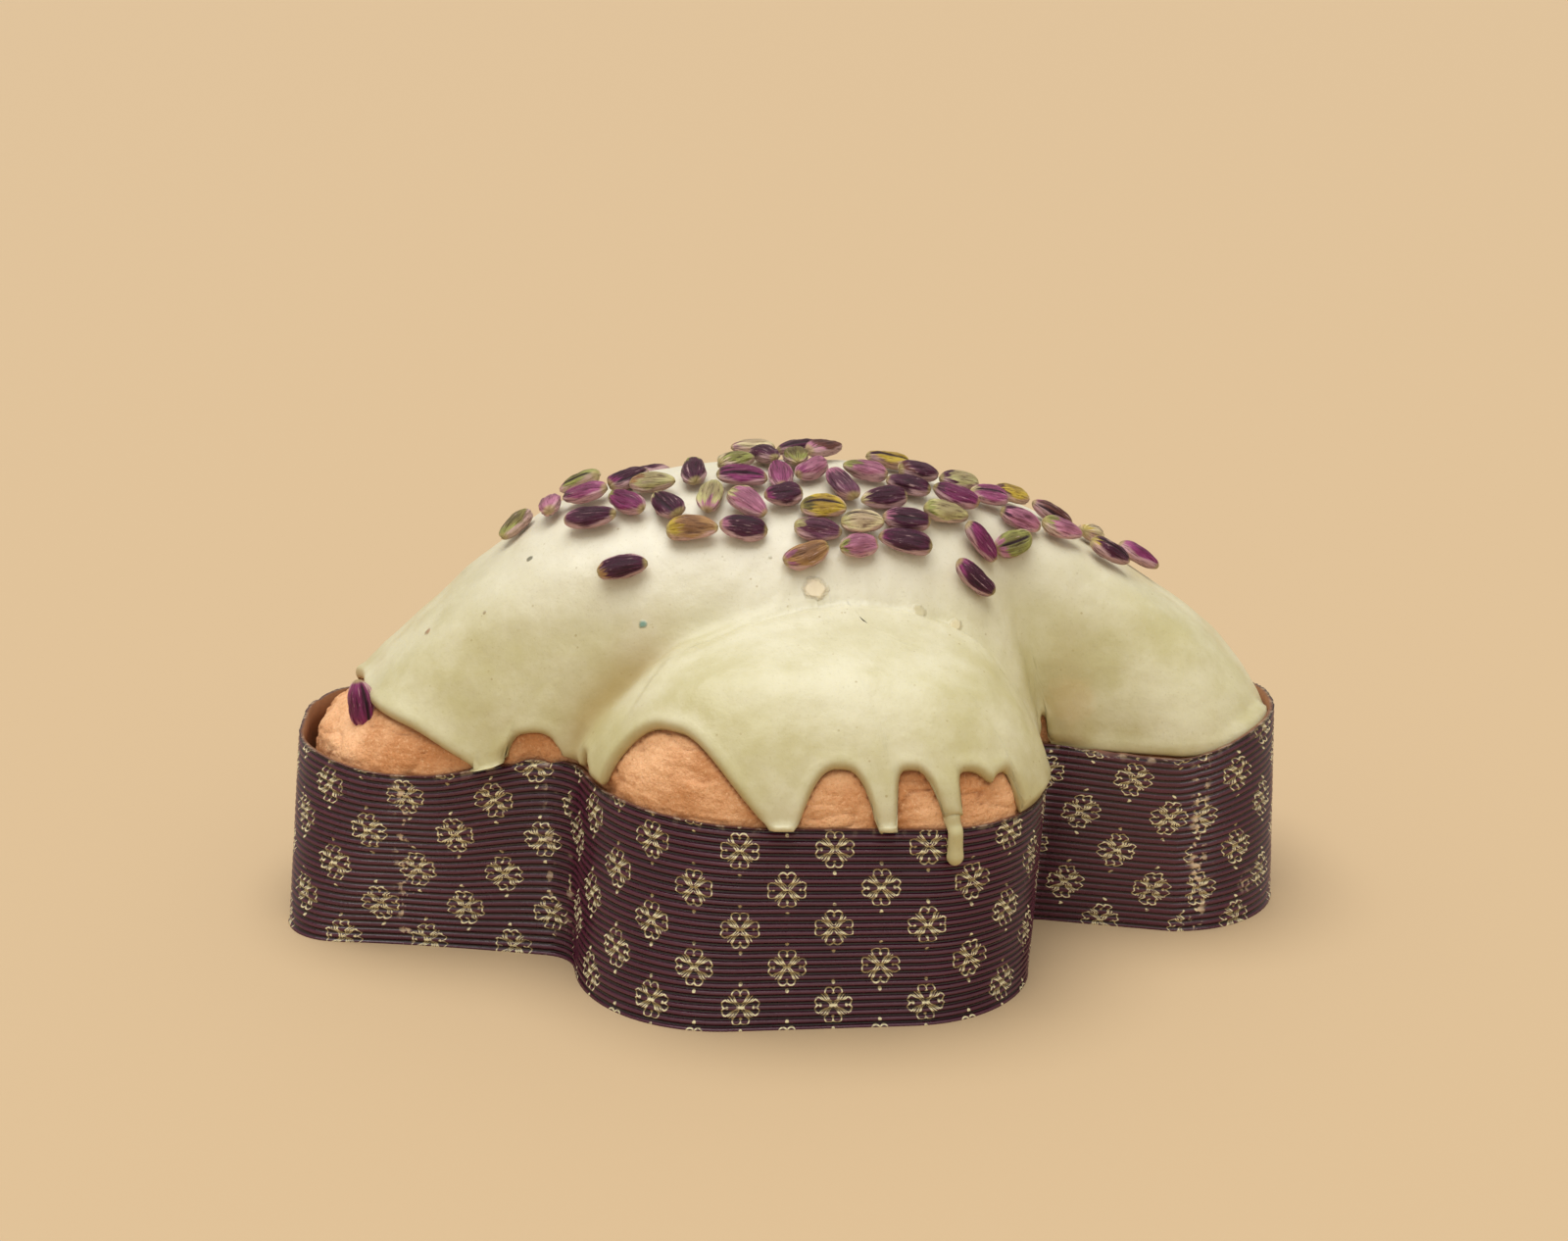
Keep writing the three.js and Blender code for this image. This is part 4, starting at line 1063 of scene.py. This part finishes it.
def group(name, inputs, output, kind):
    """An empty node group with named sockets: its tree, its inputs by name, and its output."""
    tree = bpy.data.node_groups.new(name, "ShaderNodeTree")
    for label, socket in inputs.items():
        tree.interface.new_socket(label, in_out="INPUT", socket_type=socket)
    tree.interface.new_socket(output, in_out="OUTPUT", socket_type=kind)
    way_in, way_out = tree.nodes.new("NodeGroupInput"), tree.nodes.new("NodeGroupOutput")
    return tree, way_in.outputs, way_out.inputs[output]


def use(tree, node_group, inputs):
    """A group placed in a tree with its own values; gives its one output."""
    return add(tree, "ShaderNodeGroup", inputs, node_tree=node_group).outputs[0]


cloudy_tone, given, result = group("cloudy_tone", {
    "Place": VECTOR, "Scale": VALUE, "Detail": VALUE, "Roughness": VALUE, "From": VALUE,
    "To": VALUE, "Dark": COLOUR, "Light": COLOUR}, "Tone", COLOUR)
cloud = noise_value(cloudy_tone, given["Place"], given["Scale"], given["Detail"], given["Roughness"])
share = ramp(cloudy_tone, cloud, given["From"], given["To"])
cloudy_tone.links.new(blend(cloudy_tone, share, given["Dark"], given["Light"]), result)

tint_where, given, result = group("tint_where", {
    "Tone": COLOUR, "Tint": COLOUR, "Value": VALUE, "From": VALUE, "To": VALUE,
    "Amount": VALUE}, "Tone", COLOUR)
share = ramp(tint_where, given["Value"], given["From"], given["To"], 0.0, given["Amount"])
tint_where.links.new(blend(tint_where, share, given["Tone"], given["Tint"]), result)

round_mark, given, result = group("round_mark", {
    "Place": VECTOR, "Centre": VECTOR, "Ragged": VALUE, "Outside": VALUE, "Inside": VALUE},
    "Mask", VALUE)
apart = add(round_mark, "ShaderNodeVectorMath", {0: given["Place"], 1: given["Centre"]},
            operation="DISTANCE").outputs["Value"]
ragged = maths(round_mark, "ADD", given["Ragged"], apart)
round_mark.links.new(ramp(round_mark, ragged, given["Outside"], given["Inside"]), result)


def tinted(tree, tone, tint, value, low, high, amount=1.0):
    """A tone that takes on a tint, up to an amount, as a value goes from low to high."""
    return use(tree, tint_where, {"Tone": tone, "Tint": srgb(*tint), "Value": value,
                                  "From": low, "To": high, "Amount": amount})


print("groups:", [tree.name for tree in (cloudy_tone, tint_where, round_mark)])

# %% [markdown]
# ## The printed flower
# The gold print is a plain four-petalled flower, repeated all over the sheet. It is drawn as a
# distance: petal outlines, strokes and dots are each a thin band round a simple shape, and folding
# the plane on its axes and diagonals makes one petal do for all. An image would need a file and
# would blur close up; this stays sharp at any size.

# %% The flower as a mask
PITCH = 26.1
ROW_STEP = 23.6
PRINT_TOP = 54.3
DIAGONAL = 0.7071
flower, given, result = group("flower_print", {"Across": VALUE, "Up": VALUE}, "Mask", VALUE)


def flower_mask(tree, across, up):
    """One four-petalled flower a centimetre wide, round the point where both values are zero."""
    ax, ay = maths(tree, "ABSOLUTE", across), maths(tree, "ABSOLUTE", up)
    p, q = maths(tree, "MAXIMUM", ax, ay), maths(tree, "MINIMUM", ax, ay)

    def distance(x, y):
        point = add(tree, "ShaderNodeCombineXYZ", {"X": x, "Y": y}).outputs[0]
        return add(tree, "ShaderNodeVectorMath", {0: point}, operation="LENGTH").outputs["Value"]

    lobe = maths(tree, "SUBTRACT", distance(maths(tree, "SUBTRACT", p, 4.0),
                                            maths(tree, "SUBTRACT", q, 1.15)), 1.25)
    spread = maths(tree, "POWER", maths(tree, "DIVIDE", maths(tree, "SUBTRACT", p, 0.8), 3.2,
                                        clamp=True), 0.75)
    flank = maths(tree, "SUBTRACT", q, maths(tree, "MULTIPLY", spread, 2.35))
    outside = maths(tree, "GREATER_THAN", p, 4.0)
    petal = add(tree, "ShaderNodeMix", {0: outside, 2: flank, 3: lobe}).outputs[0]
    petal = ramp(tree, maths(tree, "ABSOLUTE", petal), 0.24, 0.12)
    petal = maths(tree, "MULTIPLY", petal, maths(tree, "GREATER_THAN", p, 0.9))
    a = maths(tree, "MULTIPLY", maths(tree, "ADD", ax, ay), DIAGONAL)
    b = maths(tree, "ABSOLUTE", maths(tree, "MULTIPLY", maths(tree, "SUBTRACT", ax, ay), DIAGONAL))
    middle_stroke = maths(tree, "MULTIPLY", ramp(tree, b, 0.20, 0.08), ramp(tree, a, 4.9, 4.5))
    side_off = maths(tree, "ABSOLUTE", maths(tree, "SUBTRACT", b, maths(tree, "MULTIPLY", a, 0.16)))
    side_stroke = maths(tree, "MULTIPLY", ramp(tree, side_off, 0.17, 0.06),
                        maths(tree, "MULTIPLY", ramp(tree, a, 4.6, 4.2), ramp(tree, a, 1.6, 2.0)))
    bar = maths(tree, "MULTIPLY", ramp(tree, ax, 1.2, 1.0), ramp(tree, ay, 0.42, 0.25))
    dot = ramp(tree, distance(ax, maths(tree, "SUBTRACT", ay, 7.1)), 0.6, 0.4)
    seed = ramp(tree, distance(maths(tree, "SUBTRACT", p, 3.7), q), 0.5, 0.3)
    mask = petal
    for part in (middle_stroke, side_stroke, bar, dot, seed):
        mask = maths(tree, "MAXIMUM", mask, part)
    return mask


flower.links.new(flower_mask(flower, given["Across"], given["Up"]), result)
print("the flower takes", len(flower.nodes), "nodes")

# %% [markdown]
# ## The paper's finish
# The paper is plum with gold flowers outside and brown kraft inside. Two sets of flowers, one
# shifted by half a pitch both ways, make the staggered repeat, and a Wrap node lays each set out
# over the sheet's own UV. The print is worn by fine noise. Plum and gold are both painted darker
# in the grooves between flutes than on the ridges, as painted shade in the grooves.

# %% Flowers on the sheet
paper_look, tree, shader, place = material("plum_paper")
sheet = add(tree, "ShaderNodeUVMap", uv_map="paper").outputs[0]
split = add(tree, "ShaderNodeSeparateXYZ", {0: sheet})
wobble = maths(tree, "MULTIPLY", maths(tree, "SUBTRACT", noise_value(tree, sheet, 160, 2), 0.5), 0.5)
u = maths(tree, "ADD", maths(tree, "MULTIPLY", split.outputs["X"], 1 / MM), wobble)
v = maths(tree, "ADD", maths(tree, "MULTIPLY", split.outputs["Y"], 1 / MM), wobble)
masks = []
for shift_u, shift_v in ((0.0, PRINT_TOP), (PITCH / 2, PRINT_TOP - ROW_STEP / 2)):
    across = maths(tree, "WRAP", maths(tree, "SUBTRACT", u, shift_u), PITCH / 2, -PITCH / 2)
    up = maths(tree, "WRAP", maths(tree, "SUBTRACT", v, shift_v), ROW_STEP / 2, -ROW_STEP / 2)
    masks.append(use(tree, flower, {"Across": across, "Up": up}))
worn = ramp(tree, noise_value(tree, place, 900, 3), 0.32, 0.5, 0.25, 1.0)
inside = attribute(tree, "inside")
printed = maths(tree, "MULTIPLY", maths(tree, "MAXIMUM", *masks), worn)
printed = maths(tree, "MULTIPLY", printed, maths(tree, "SUBTRACT", 1.0, inside))
print(f"flowers {PITCH} mm apart along the sheet, in rows of {ROW_STEP / 2:.1f} mm")

# %% Plum and gold
ridge_share = maths(tree, "COSINE", maths(tree, "MULTIPLY", attribute(tree, "phase"), math.tau))
ridge_share = ramp(tree, ridge_share, -1.0, 0.3)
plum = blend(tree, noise_value(tree, place, 70, 5), srgb(62, 17, 38), srgb(92, 34, 58))
# Painted shade: plum and gold both turn darker from the ridges towards the grooves between flutes.
plum = blend(tree, ridge_share, srgb(24, 5, 13), plum)
gold = blend(tree, ridge_share, srgb(176, 158, 110), srgb(240, 230, 186))
plum = blend(tree, printed, plum, gold)
print("plum and gold take", len(tree.nodes), "nodes so far")

# %% Worn edge, creases and scuffs
SCUFFS = [((0.1155, -0.0515, 0.018), 0.003), ((0.1365, -0.0375, 0.0125), 0.0035),
          ((-0.0655, -0.053, 0.0115), 0.003), ((0.117, -0.051, 0.024), 0.002),
          ((-0.0655, -0.0535, 0.022), 0.0025), ((-0.0650, -0.0535, 0.034), 0.002)]
edge_fleck = maths(tree, "MULTIPLY", attribute(tree, "edge"),
                   ramp(tree, noise_value(tree, place, 260, 3), 0.54, 0.66, 0.0, 0.7))
crease_fleck = maths(tree, "MULTIPLY", attribute(tree, "crease"),
                     ramp(tree, noise_value(tree, place, 330, 3), 0.56, 0.64))
scuffs = 0.0
for centre, reach in SCUFFS:
    mark = use(tree, round_mark, {"Place": place, "Centre": centre, "Ragged": 0.0,
                                  "Outside": reach * 1.5, "Inside": reach * 0.3})
    scuffs = maths(tree, "MAXIMUM", scuffs, mark)
scuffs = maths(tree, "MULTIPLY", scuffs, ramp(tree, noise_value(tree, place, 520, 3), 0.5, 0.56))
flecks = maths(tree, "MAXIMUM", maths(tree, "MAXIMUM", edge_fleck, crease_fleck), scuffs)
plum = blend(tree, flecks, plum, srgb(214, 190, 160))
print(len(SCUFFS), "scuffs on the paper")

# %% Kraft inside, gloss outside
kraft = blend(tree, noise_value(tree, place, 240, 5), srgb(128, 84, 52), srgb(166, 112, 70))
tree.links.new(blend(tree, inside, plum, kraft), shader.inputs["Base Color"])
gloss = ramp(tree, noise_value(tree, place, 180, 4), 0.3, 0.7, 0.20, 0.36)
matt = maths(tree, "MULTIPLY", maths(tree, "MAXIMUM", inside, flecks), 0.85)
tree.links.new(maths(tree, "MAXIMUM", gloss, matt), shader.inputs["Roughness"])
settle(shader, {"Specular IOR Level": 0.62})
grit = bump(tree, noise_value(tree, place, 1300, 4), 0.2, 0.0003)
outside_only = maths(tree, "MULTIPLY", ridge_share, maths(tree, "SUBTRACT", 1.0, inside))
tree.links.new(bump(tree, outside_only, 0.5, 0.0006, grit), shader.inputs["Normal"])
case.data.materials.append(paper_look)
print(paper_look.name, "has", len(tree.nodes), "nodes")

# %% [markdown]
# ## The crust's finish
# Baked crust is a warm tan that is never one colour: it clouds and its pores are browner. Its
# low crags are painted browner as painted shade in the recesses, and it is painted darker where
# the glaze's lip sits on it, as the lip's painted shadow. A little light goes in and comes out
# redder, which is what makes bread look soft, so the shader has some subsurface scattering. The
# tones are kept paler than crust seems to be, because the warm light adds to them.

# %% Crust material
crust_look, tree, shader, place = material("baked_crust")
tone = use(tree, cloudy_tone, {
    "Place": place, "Scale": 55.0, "Detail": 5.0, "Roughness": 0.55, "From": 0.3, "To": 0.7,
    "Dark": srgb(202, 138, 86), "Light": srgb(238, 184, 136)})
grain = noise_value(tree, place, 900, 3, 0.7)
tone = tinted(tree, tone, (160, 94, 46), grain, 0.52, 0.74, 0.4)
tone = tinted(tree, tone, (248, 204, 160), grain, 0.46, 0.28, 0.5)
# Painted shade: the crust turns browner where its crags and folds sink lowest.
tone = tinted(tree, tone, (150, 88, 44), attribute(tree, "crag"), -0.3, -1.4, 0.45)
# Painted shadow: the crust turns dark brown just under the glaze's lip.
tone = tinted(tree, tone, (120, 66, 30), attribute(tree, "lip"), 0.3, 0.95, 0.75)
tree.links.new(tone, shader.inputs["Base Color"])
settle(shader, {"Roughness": 0.78, "Subsurface Weight": 0.08, "Subsurface Scale": 0.3,
                "Subsurface Radius": (0.006, 0.003, 0.0015)})
pores = add(tree, "ShaderNodeTexVoronoi", {"Vector": place, "Scale": 1100.0}).outputs["Distance"]
fibre = noise_value(tree, place, 330, 5, 0.65)
skin_bump = bump(tree, fibre, 0.6, 0.0012, bump(tree, grain, 0.55, 0.0006))
tree.links.new(bump(tree, pores, 0.35, 0.0004, skin_bump), shader.inputs["Normal"])
crust.data.materials.append(crust_look)
print(crust_look.name, "has", len(tree.nodes), "nodes")

# %% [markdown]
# ## The glaze's finish
# Pistachio glaze is a greyish, greenish cream with ground nut in it. The base clouds between two
# tones and is painted paler towards the top, as painted light from above. Fine dust and dark specks
# come from noise and from a Voronoi texture, and the coat is yellower at its thin edge. The hollows
# are painted darker and yellower, as painted shade. A painted map could hold all this too, but
# would have to be unwrapped and would show its pixels.

# %% Cream, specks and thin places
glaze_look, tree, shader, place = material("pistachio_glaze")
cream = use(tree, cloudy_tone, {
    "Place": place, "Scale": 30.0, "Detail": 5.0, "Roughness": 0.62, "From": 0.34, "To": 0.66,
    "Dark": srgb(190, 181, 134), "Light": srgb(210, 203, 170)})
height = add(tree, "ShaderNodeSeparateXYZ", {0: place}).outputs["Z"]
# Painted light: the glaze turns whiter towards the top, where the light from above falls.
cream = tinted(tree, cream, (226, 220, 204), height, 0.088, 0.124, 0.7)
specks = add(tree, "ShaderNodeTexVoronoi", {"Vector": place, "Scale": 330.0}).outputs["Distance"]
picked = noise_value(tree, place, 210, 2)
speck = maths(tree, "MULTIPLY", ramp(tree, specks, 0.16, 0.08), ramp(tree, picked, 0.55, 0.66))
cream = blend(tree, maths(tree, "MULTIPLY", speck, 0.5), cream, srgb(150, 128, 70))
dust = noise_value(tree, place, 1200, 3, 0.75)
cream = tinted(tree, cream, (160, 146, 96), dust, 0.56, 0.74, 0.3)
cream = tinted(tree, cream, (164, 142, 88), attribute(tree, "from_edge"), 2.2, 0.0, 0.55)
# Painted shade: the glaze turns a darker olive in the valleys, where shade falls.
valley_shade_share = maths(tree, "MULTIPLY", attribute(tree, "valley_shade"), 0.8)
cream = blend(tree, valley_shade_share, cream, srgb(160, 136, 80))
print("the plain glaze takes", len(tree.nodes), "nodes")

# %% Marks in the glaze
# A pale disc, a blue-green fleck, chips, small lumps and a warm smear, each at its own place:
# (place, reach, tint, share of the tint, height of its relief).
MARKS = [
    ((0.0052, -0.0450, 0.1110), 0.0034, (240, 220, 182), 0.6, 1.0),
    ((-0.0448, -0.0499, 0.1030), 0.0015, (96, 140, 126), 0.85, 0.4),
    ((-0.1085, -0.017, 0.0915), 0.0015, (150, 96, 62), 0.75, 0.5),
    ((-0.0769, -0.0208, 0.1140), 0.0010, (86, 84, 60), 0.8, 0.3),
    ((-0.0228, -0.0579, 0.1025), 0.0014, (236, 208, 160), 0.6, 1.0),
    ((0.0347, -0.0468, 0.1035), 0.0022, (188, 174, 128), 0.5, 0.5),
    ((0.0455, -0.0473, 0.0995), 0.0018, (216, 196, 150), 0.4, 0.6),
    ((-0.0074, -0.0383, 0.1180), 0.0009, (120, 120, 84), 0.6, 0.3),
    ((-0.0905, -0.0300, 0.1010), 0.0008, (130, 100, 64), 0.6, 0.2),
    ((0.0819, -0.0372, 0.0720), 0.0070, (214, 180, 124), 0.18, 0.0),
]
uneven_rim = noise_value(tree, place, 340, 4)
relief = 0.0
for spot, reach, tint, amount, rise in MARKS:
    mark = use(tree, round_mark, {
        "Place": place, "Centre": spot, "Ragged": maths(tree, "MULTIPLY", uneven_rim, reach),
        "Outside": reach * 1.75, "Inside": reach * 1.15})
    cream = blend(tree, maths(tree, "MULTIPLY", mark, amount), cream, srgb(*tint))
    relief = maths(tree, "MAXIMUM", relief, maths(tree, "MULTIPLY", mark, rise))
print(len(MARKS), "marks in the glaze")

# %% Sheen and relief of the glaze
tree.links.new(cream, shader.inputs["Base Color"])
sheen = ramp(tree, noise_value(tree, place, 60, 4), 0.3, 0.7, 0.30, 0.46)
tree.links.new(sheen, shader.inputs["Roughness"])
settle(shader, {"Subsurface Weight": 0.12, "Subsurface Scale": 0.5, "Specular IOR Level": 0.45,
                "Subsurface Radius": (0.004, 0.0035, 0.0018)})
fine = bump(tree, noise_value(tree, place, 420, 4), 0.2, 0.0005)
broad = bump(tree, noise_value(tree, place, 90, 4), 0.3, 0.0014, fine)
tree.links.new(bump(tree, relief, 0.8, 0.0012, broad), shader.inputs["Normal"])
glaze.data.materials.append(glaze_look)
print(glaze_look.name, "has", len(tree.nodes), "nodes")

# %% [markdown]
# ## The nuts' finish
# A shelled pistachio wears a papery purple skin that is darkest along its back and shows green
# or cream at the ends. Its lengthwise streaks follow its wrinkles: painted shade darkens their
# grooves and painted highlight pales their ridges. One material serves all the nuts: each point
# carries its nut's tones and number, how far along the nut it lies, and which way round it faces.
# Fifty-seven materials would allow more, but would have to be kept alike by hand.

# %% Body, ends and streaks of a nut
nut_look, tree, shader, place = material("pistachio_skin")
share, seed = attribute(tree, "share"), attribute(tree, "seed")
# Streaks run lengthwise because the noise is stretched along the nut's own length.
grain = add(tree, "ShaderNodeCombineXYZ", {
    "X": maths(tree, "MULTIPLY_ADD", share, 0.55, maths(tree, "MULTIPLY", seed, 3.7)),
    "Y": maths(tree, "MULTIPLY", attribute(tree, "turn_x"), 2.2),
    "Z": maths(tree, "MULTIPLY", attribute(tree, "turn_y"), 2.2)}).outputs[0]
patch = noise_value(tree, grain, 0.9, 4, 0.6)
streak = noise_value(tree, grain, 2.4, 5, 0.7)
wavy = maths(tree, "MULTIPLY", maths(tree, "SUBTRACT", patch, 0.5), 2.4)
ends_from = maths(tree, "SUBTRACT", 1.0, attribute(tree, "amount"))
past_ends = maths(tree, "SUBTRACT", maths(tree, "ADD", share, wavy), ends_from)
nut_tone = blend(tree, ramp(tree, past_ends, -0.08, 0.14),
                 attribute(tree, "body", "Color"), attribute(tree, "ends", "Color"))
print("a nut's streaks are", round(2.4 / 0.9, 1), "times as fine as its patches")

# %% Back, belly, tips and seam of a nut
off_middle = maths(tree, "ABSOLUTE", share)
crown = maths(tree, "SUBTRACT", attribute(tree, "turn_y"), maths(tree, "MULTIPLY", off_middle, 0.7))
crown = maths(tree, "ADD", crown, maths(tree, "MULTIPLY", wavy, 0.5))
nut_tone = tinted(tree, nut_tone, (222, 182, 180), crown, 0.22, -0.18, 0.7)
nut_tone = blend(tree, ramp(tree, crown, 0.30, 0.75, 0.0, 0.5), nut_tone, srgb(120, 60, 90), "MULTIPLY")
# Painted shade and highlight: where the wrinkle relief is low, in the grooves, the skin is darkened, and
# where it is high, on the ridges, it is paled.
nut_tone = blend(tree, ramp(tree, streak, 0.50, 0.38, 0.0, 0.7), nut_tone, srgb(110, 66, 80), "MULTIPLY")
nut_tone = tinted(tree, nut_tone, (226, 190, 186), streak, 0.58, 0.70, 0.6)
nut_tone = tinted(tree, nut_tone, (196, 178, 116), off_middle, 0.80, 0.97, 0.7)
# Painted shade: the seam between the halves is darkened, most where it is open and deep.
nut_tone = blend(tree, attribute(tree, "seam"), nut_tone, srgb(44, 20, 30))
tree.links.new(nut_tone, shader.inputs["Base Color"])
settle(shader, {"Roughness": 0.4, "Specular IOR Level": 0.3})
offset = add(tree, "ShaderNodeCombineXYZ", {"X": seed, "Y": maths(tree, "MULTIPLY", seed, 1.7)})
moved = add(tree, "ShaderNodeVectorMath", {0: place, 1: offset.outputs[0]}, operation="ADD")
fine_wrinkles = bump(tree, noise_value(tree, moved.outputs[0], 900, 4, 0.7), 0.3, 0.0004)
tree.links.new(bump(tree, streak, 0.8, 0.0009, fine_wrinkles), shader.inputs["Normal"])
for piece, _ in nut_pieces:
    piece.data.materials.append(nut_look)
print(nut_look.name, "has", len(tree.nodes), "nodes, on", len(nut_pieces), "pieces")

# %% [markdown]
# ## Putting the pieces on the frame
# Each finished piece rides on the part's one body and takes the place of the solids it covers. The
# pieces already stand where they belong, with their places in their meshes, so nothing is moved
# here.

# %% Pieces, solids and slots
dressed = [(case, ["paper_case"], "paper"), (crust, ["cake"], "crust"),
           (glaze, ["pistachio_glaze"], "glaze")]
dressed += [(piece, names, "nut") for piece, names in nut_pieces]
for piece, names, slot in dressed:
    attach(piece, "root")
    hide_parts(*names)
print(len(dressed), "pieces replace", sum(len(names) for _, names, _ in dressed), "solids")

# %% [markdown]
# ## Floor, light and camera
# The cake stands on a plain pale floor that runs out of sight, under one broad light from above
# and a weak one from the front. Area lamps would give the same softness near the cake, but the
# floor would fade away from them; a sun seen at a wide angle is soft and even everywhere. The
# camera stands where the photograph's did, a little to the left and looking slightly down.

# %% Floor
FLOOR_SIZE = 6.0
bm = bmesh.new()
bmesh.ops.create_grid(bm, x_segments=1, y_segments=1, size=FLOOR_SIZE)
floor = finish_mesh(bm, "studio_floor")
floor_look, tree, shader, place = material("pale_floor")
settle(shader, {"Base Color": srgb(194, 167, 130), "Roughness": 0.75})
floor.data.materials.append(floor_look)
report(floor)

# %% Light
scene = bpy.context.scene
scene.world = scene.world or bpy.data.worlds.new("studio")
scene.world.use_nodes = True
sky = scene.world.node_tree.nodes["Background"]
settle(sky, {"Color": (1.0, 0.94, 0.82, 1), "Strength": 0.48})


def soft_sun(name, direction, spread, strength, tint):
    """A wide sun: as even over the floor as a big softbox, however far the floor goes."""
    data = bpy.data.lights.new(name, "SUN")
    data.angle, data.energy, data.color = math.radians(spread), strength, tint
    lamp = bpy.data.objects.new(name, data)
    lamp.rotation_euler = Vector(direction).to_track_quat("Z", "Y").to_euler()
    bpy.context.collection.objects.link(lamp)
    return lamp


lamps = [soft_sun("key", (-0.08, 0.02, 1.0), 56, 2.65, (0.98, 0.99, 1.0)),
         soft_sun("front", (0.05, -1.0, 0.70), 80, 0.45, (1.0, 0.99, 0.98))]
print("suns:", [(lamp.name, round(lamp.data.energy, 2)) for lamp in lamps])

# %% Camera
LENS, SENSOR = 59.57, 36.0
CAMERA_PLACE = (-0.05209, -0.75208, 0.33675)
CAMERA_TILT, CAMERA_TURN = 71.62, -3.9
camera_data = bpy.data.cameras.new("photo_camera")
camera_data.lens, camera_data.sensor_width = LENS, SENSOR
camera = bpy.data.objects.new("photo_camera", camera_data)
camera.location = CAMERA_PLACE
camera.rotation_euler = (math.radians(CAMERA_TILT), 0, math.radians(CAMERA_TURN))
bpy.context.collection.objects.link(camera)
scene.camera = camera
scene.view_settings.view_transform = "Standard"
print(f"camera {Vector(CAMERA_PLACE).length:.2f} m from the middle of the case's underside")
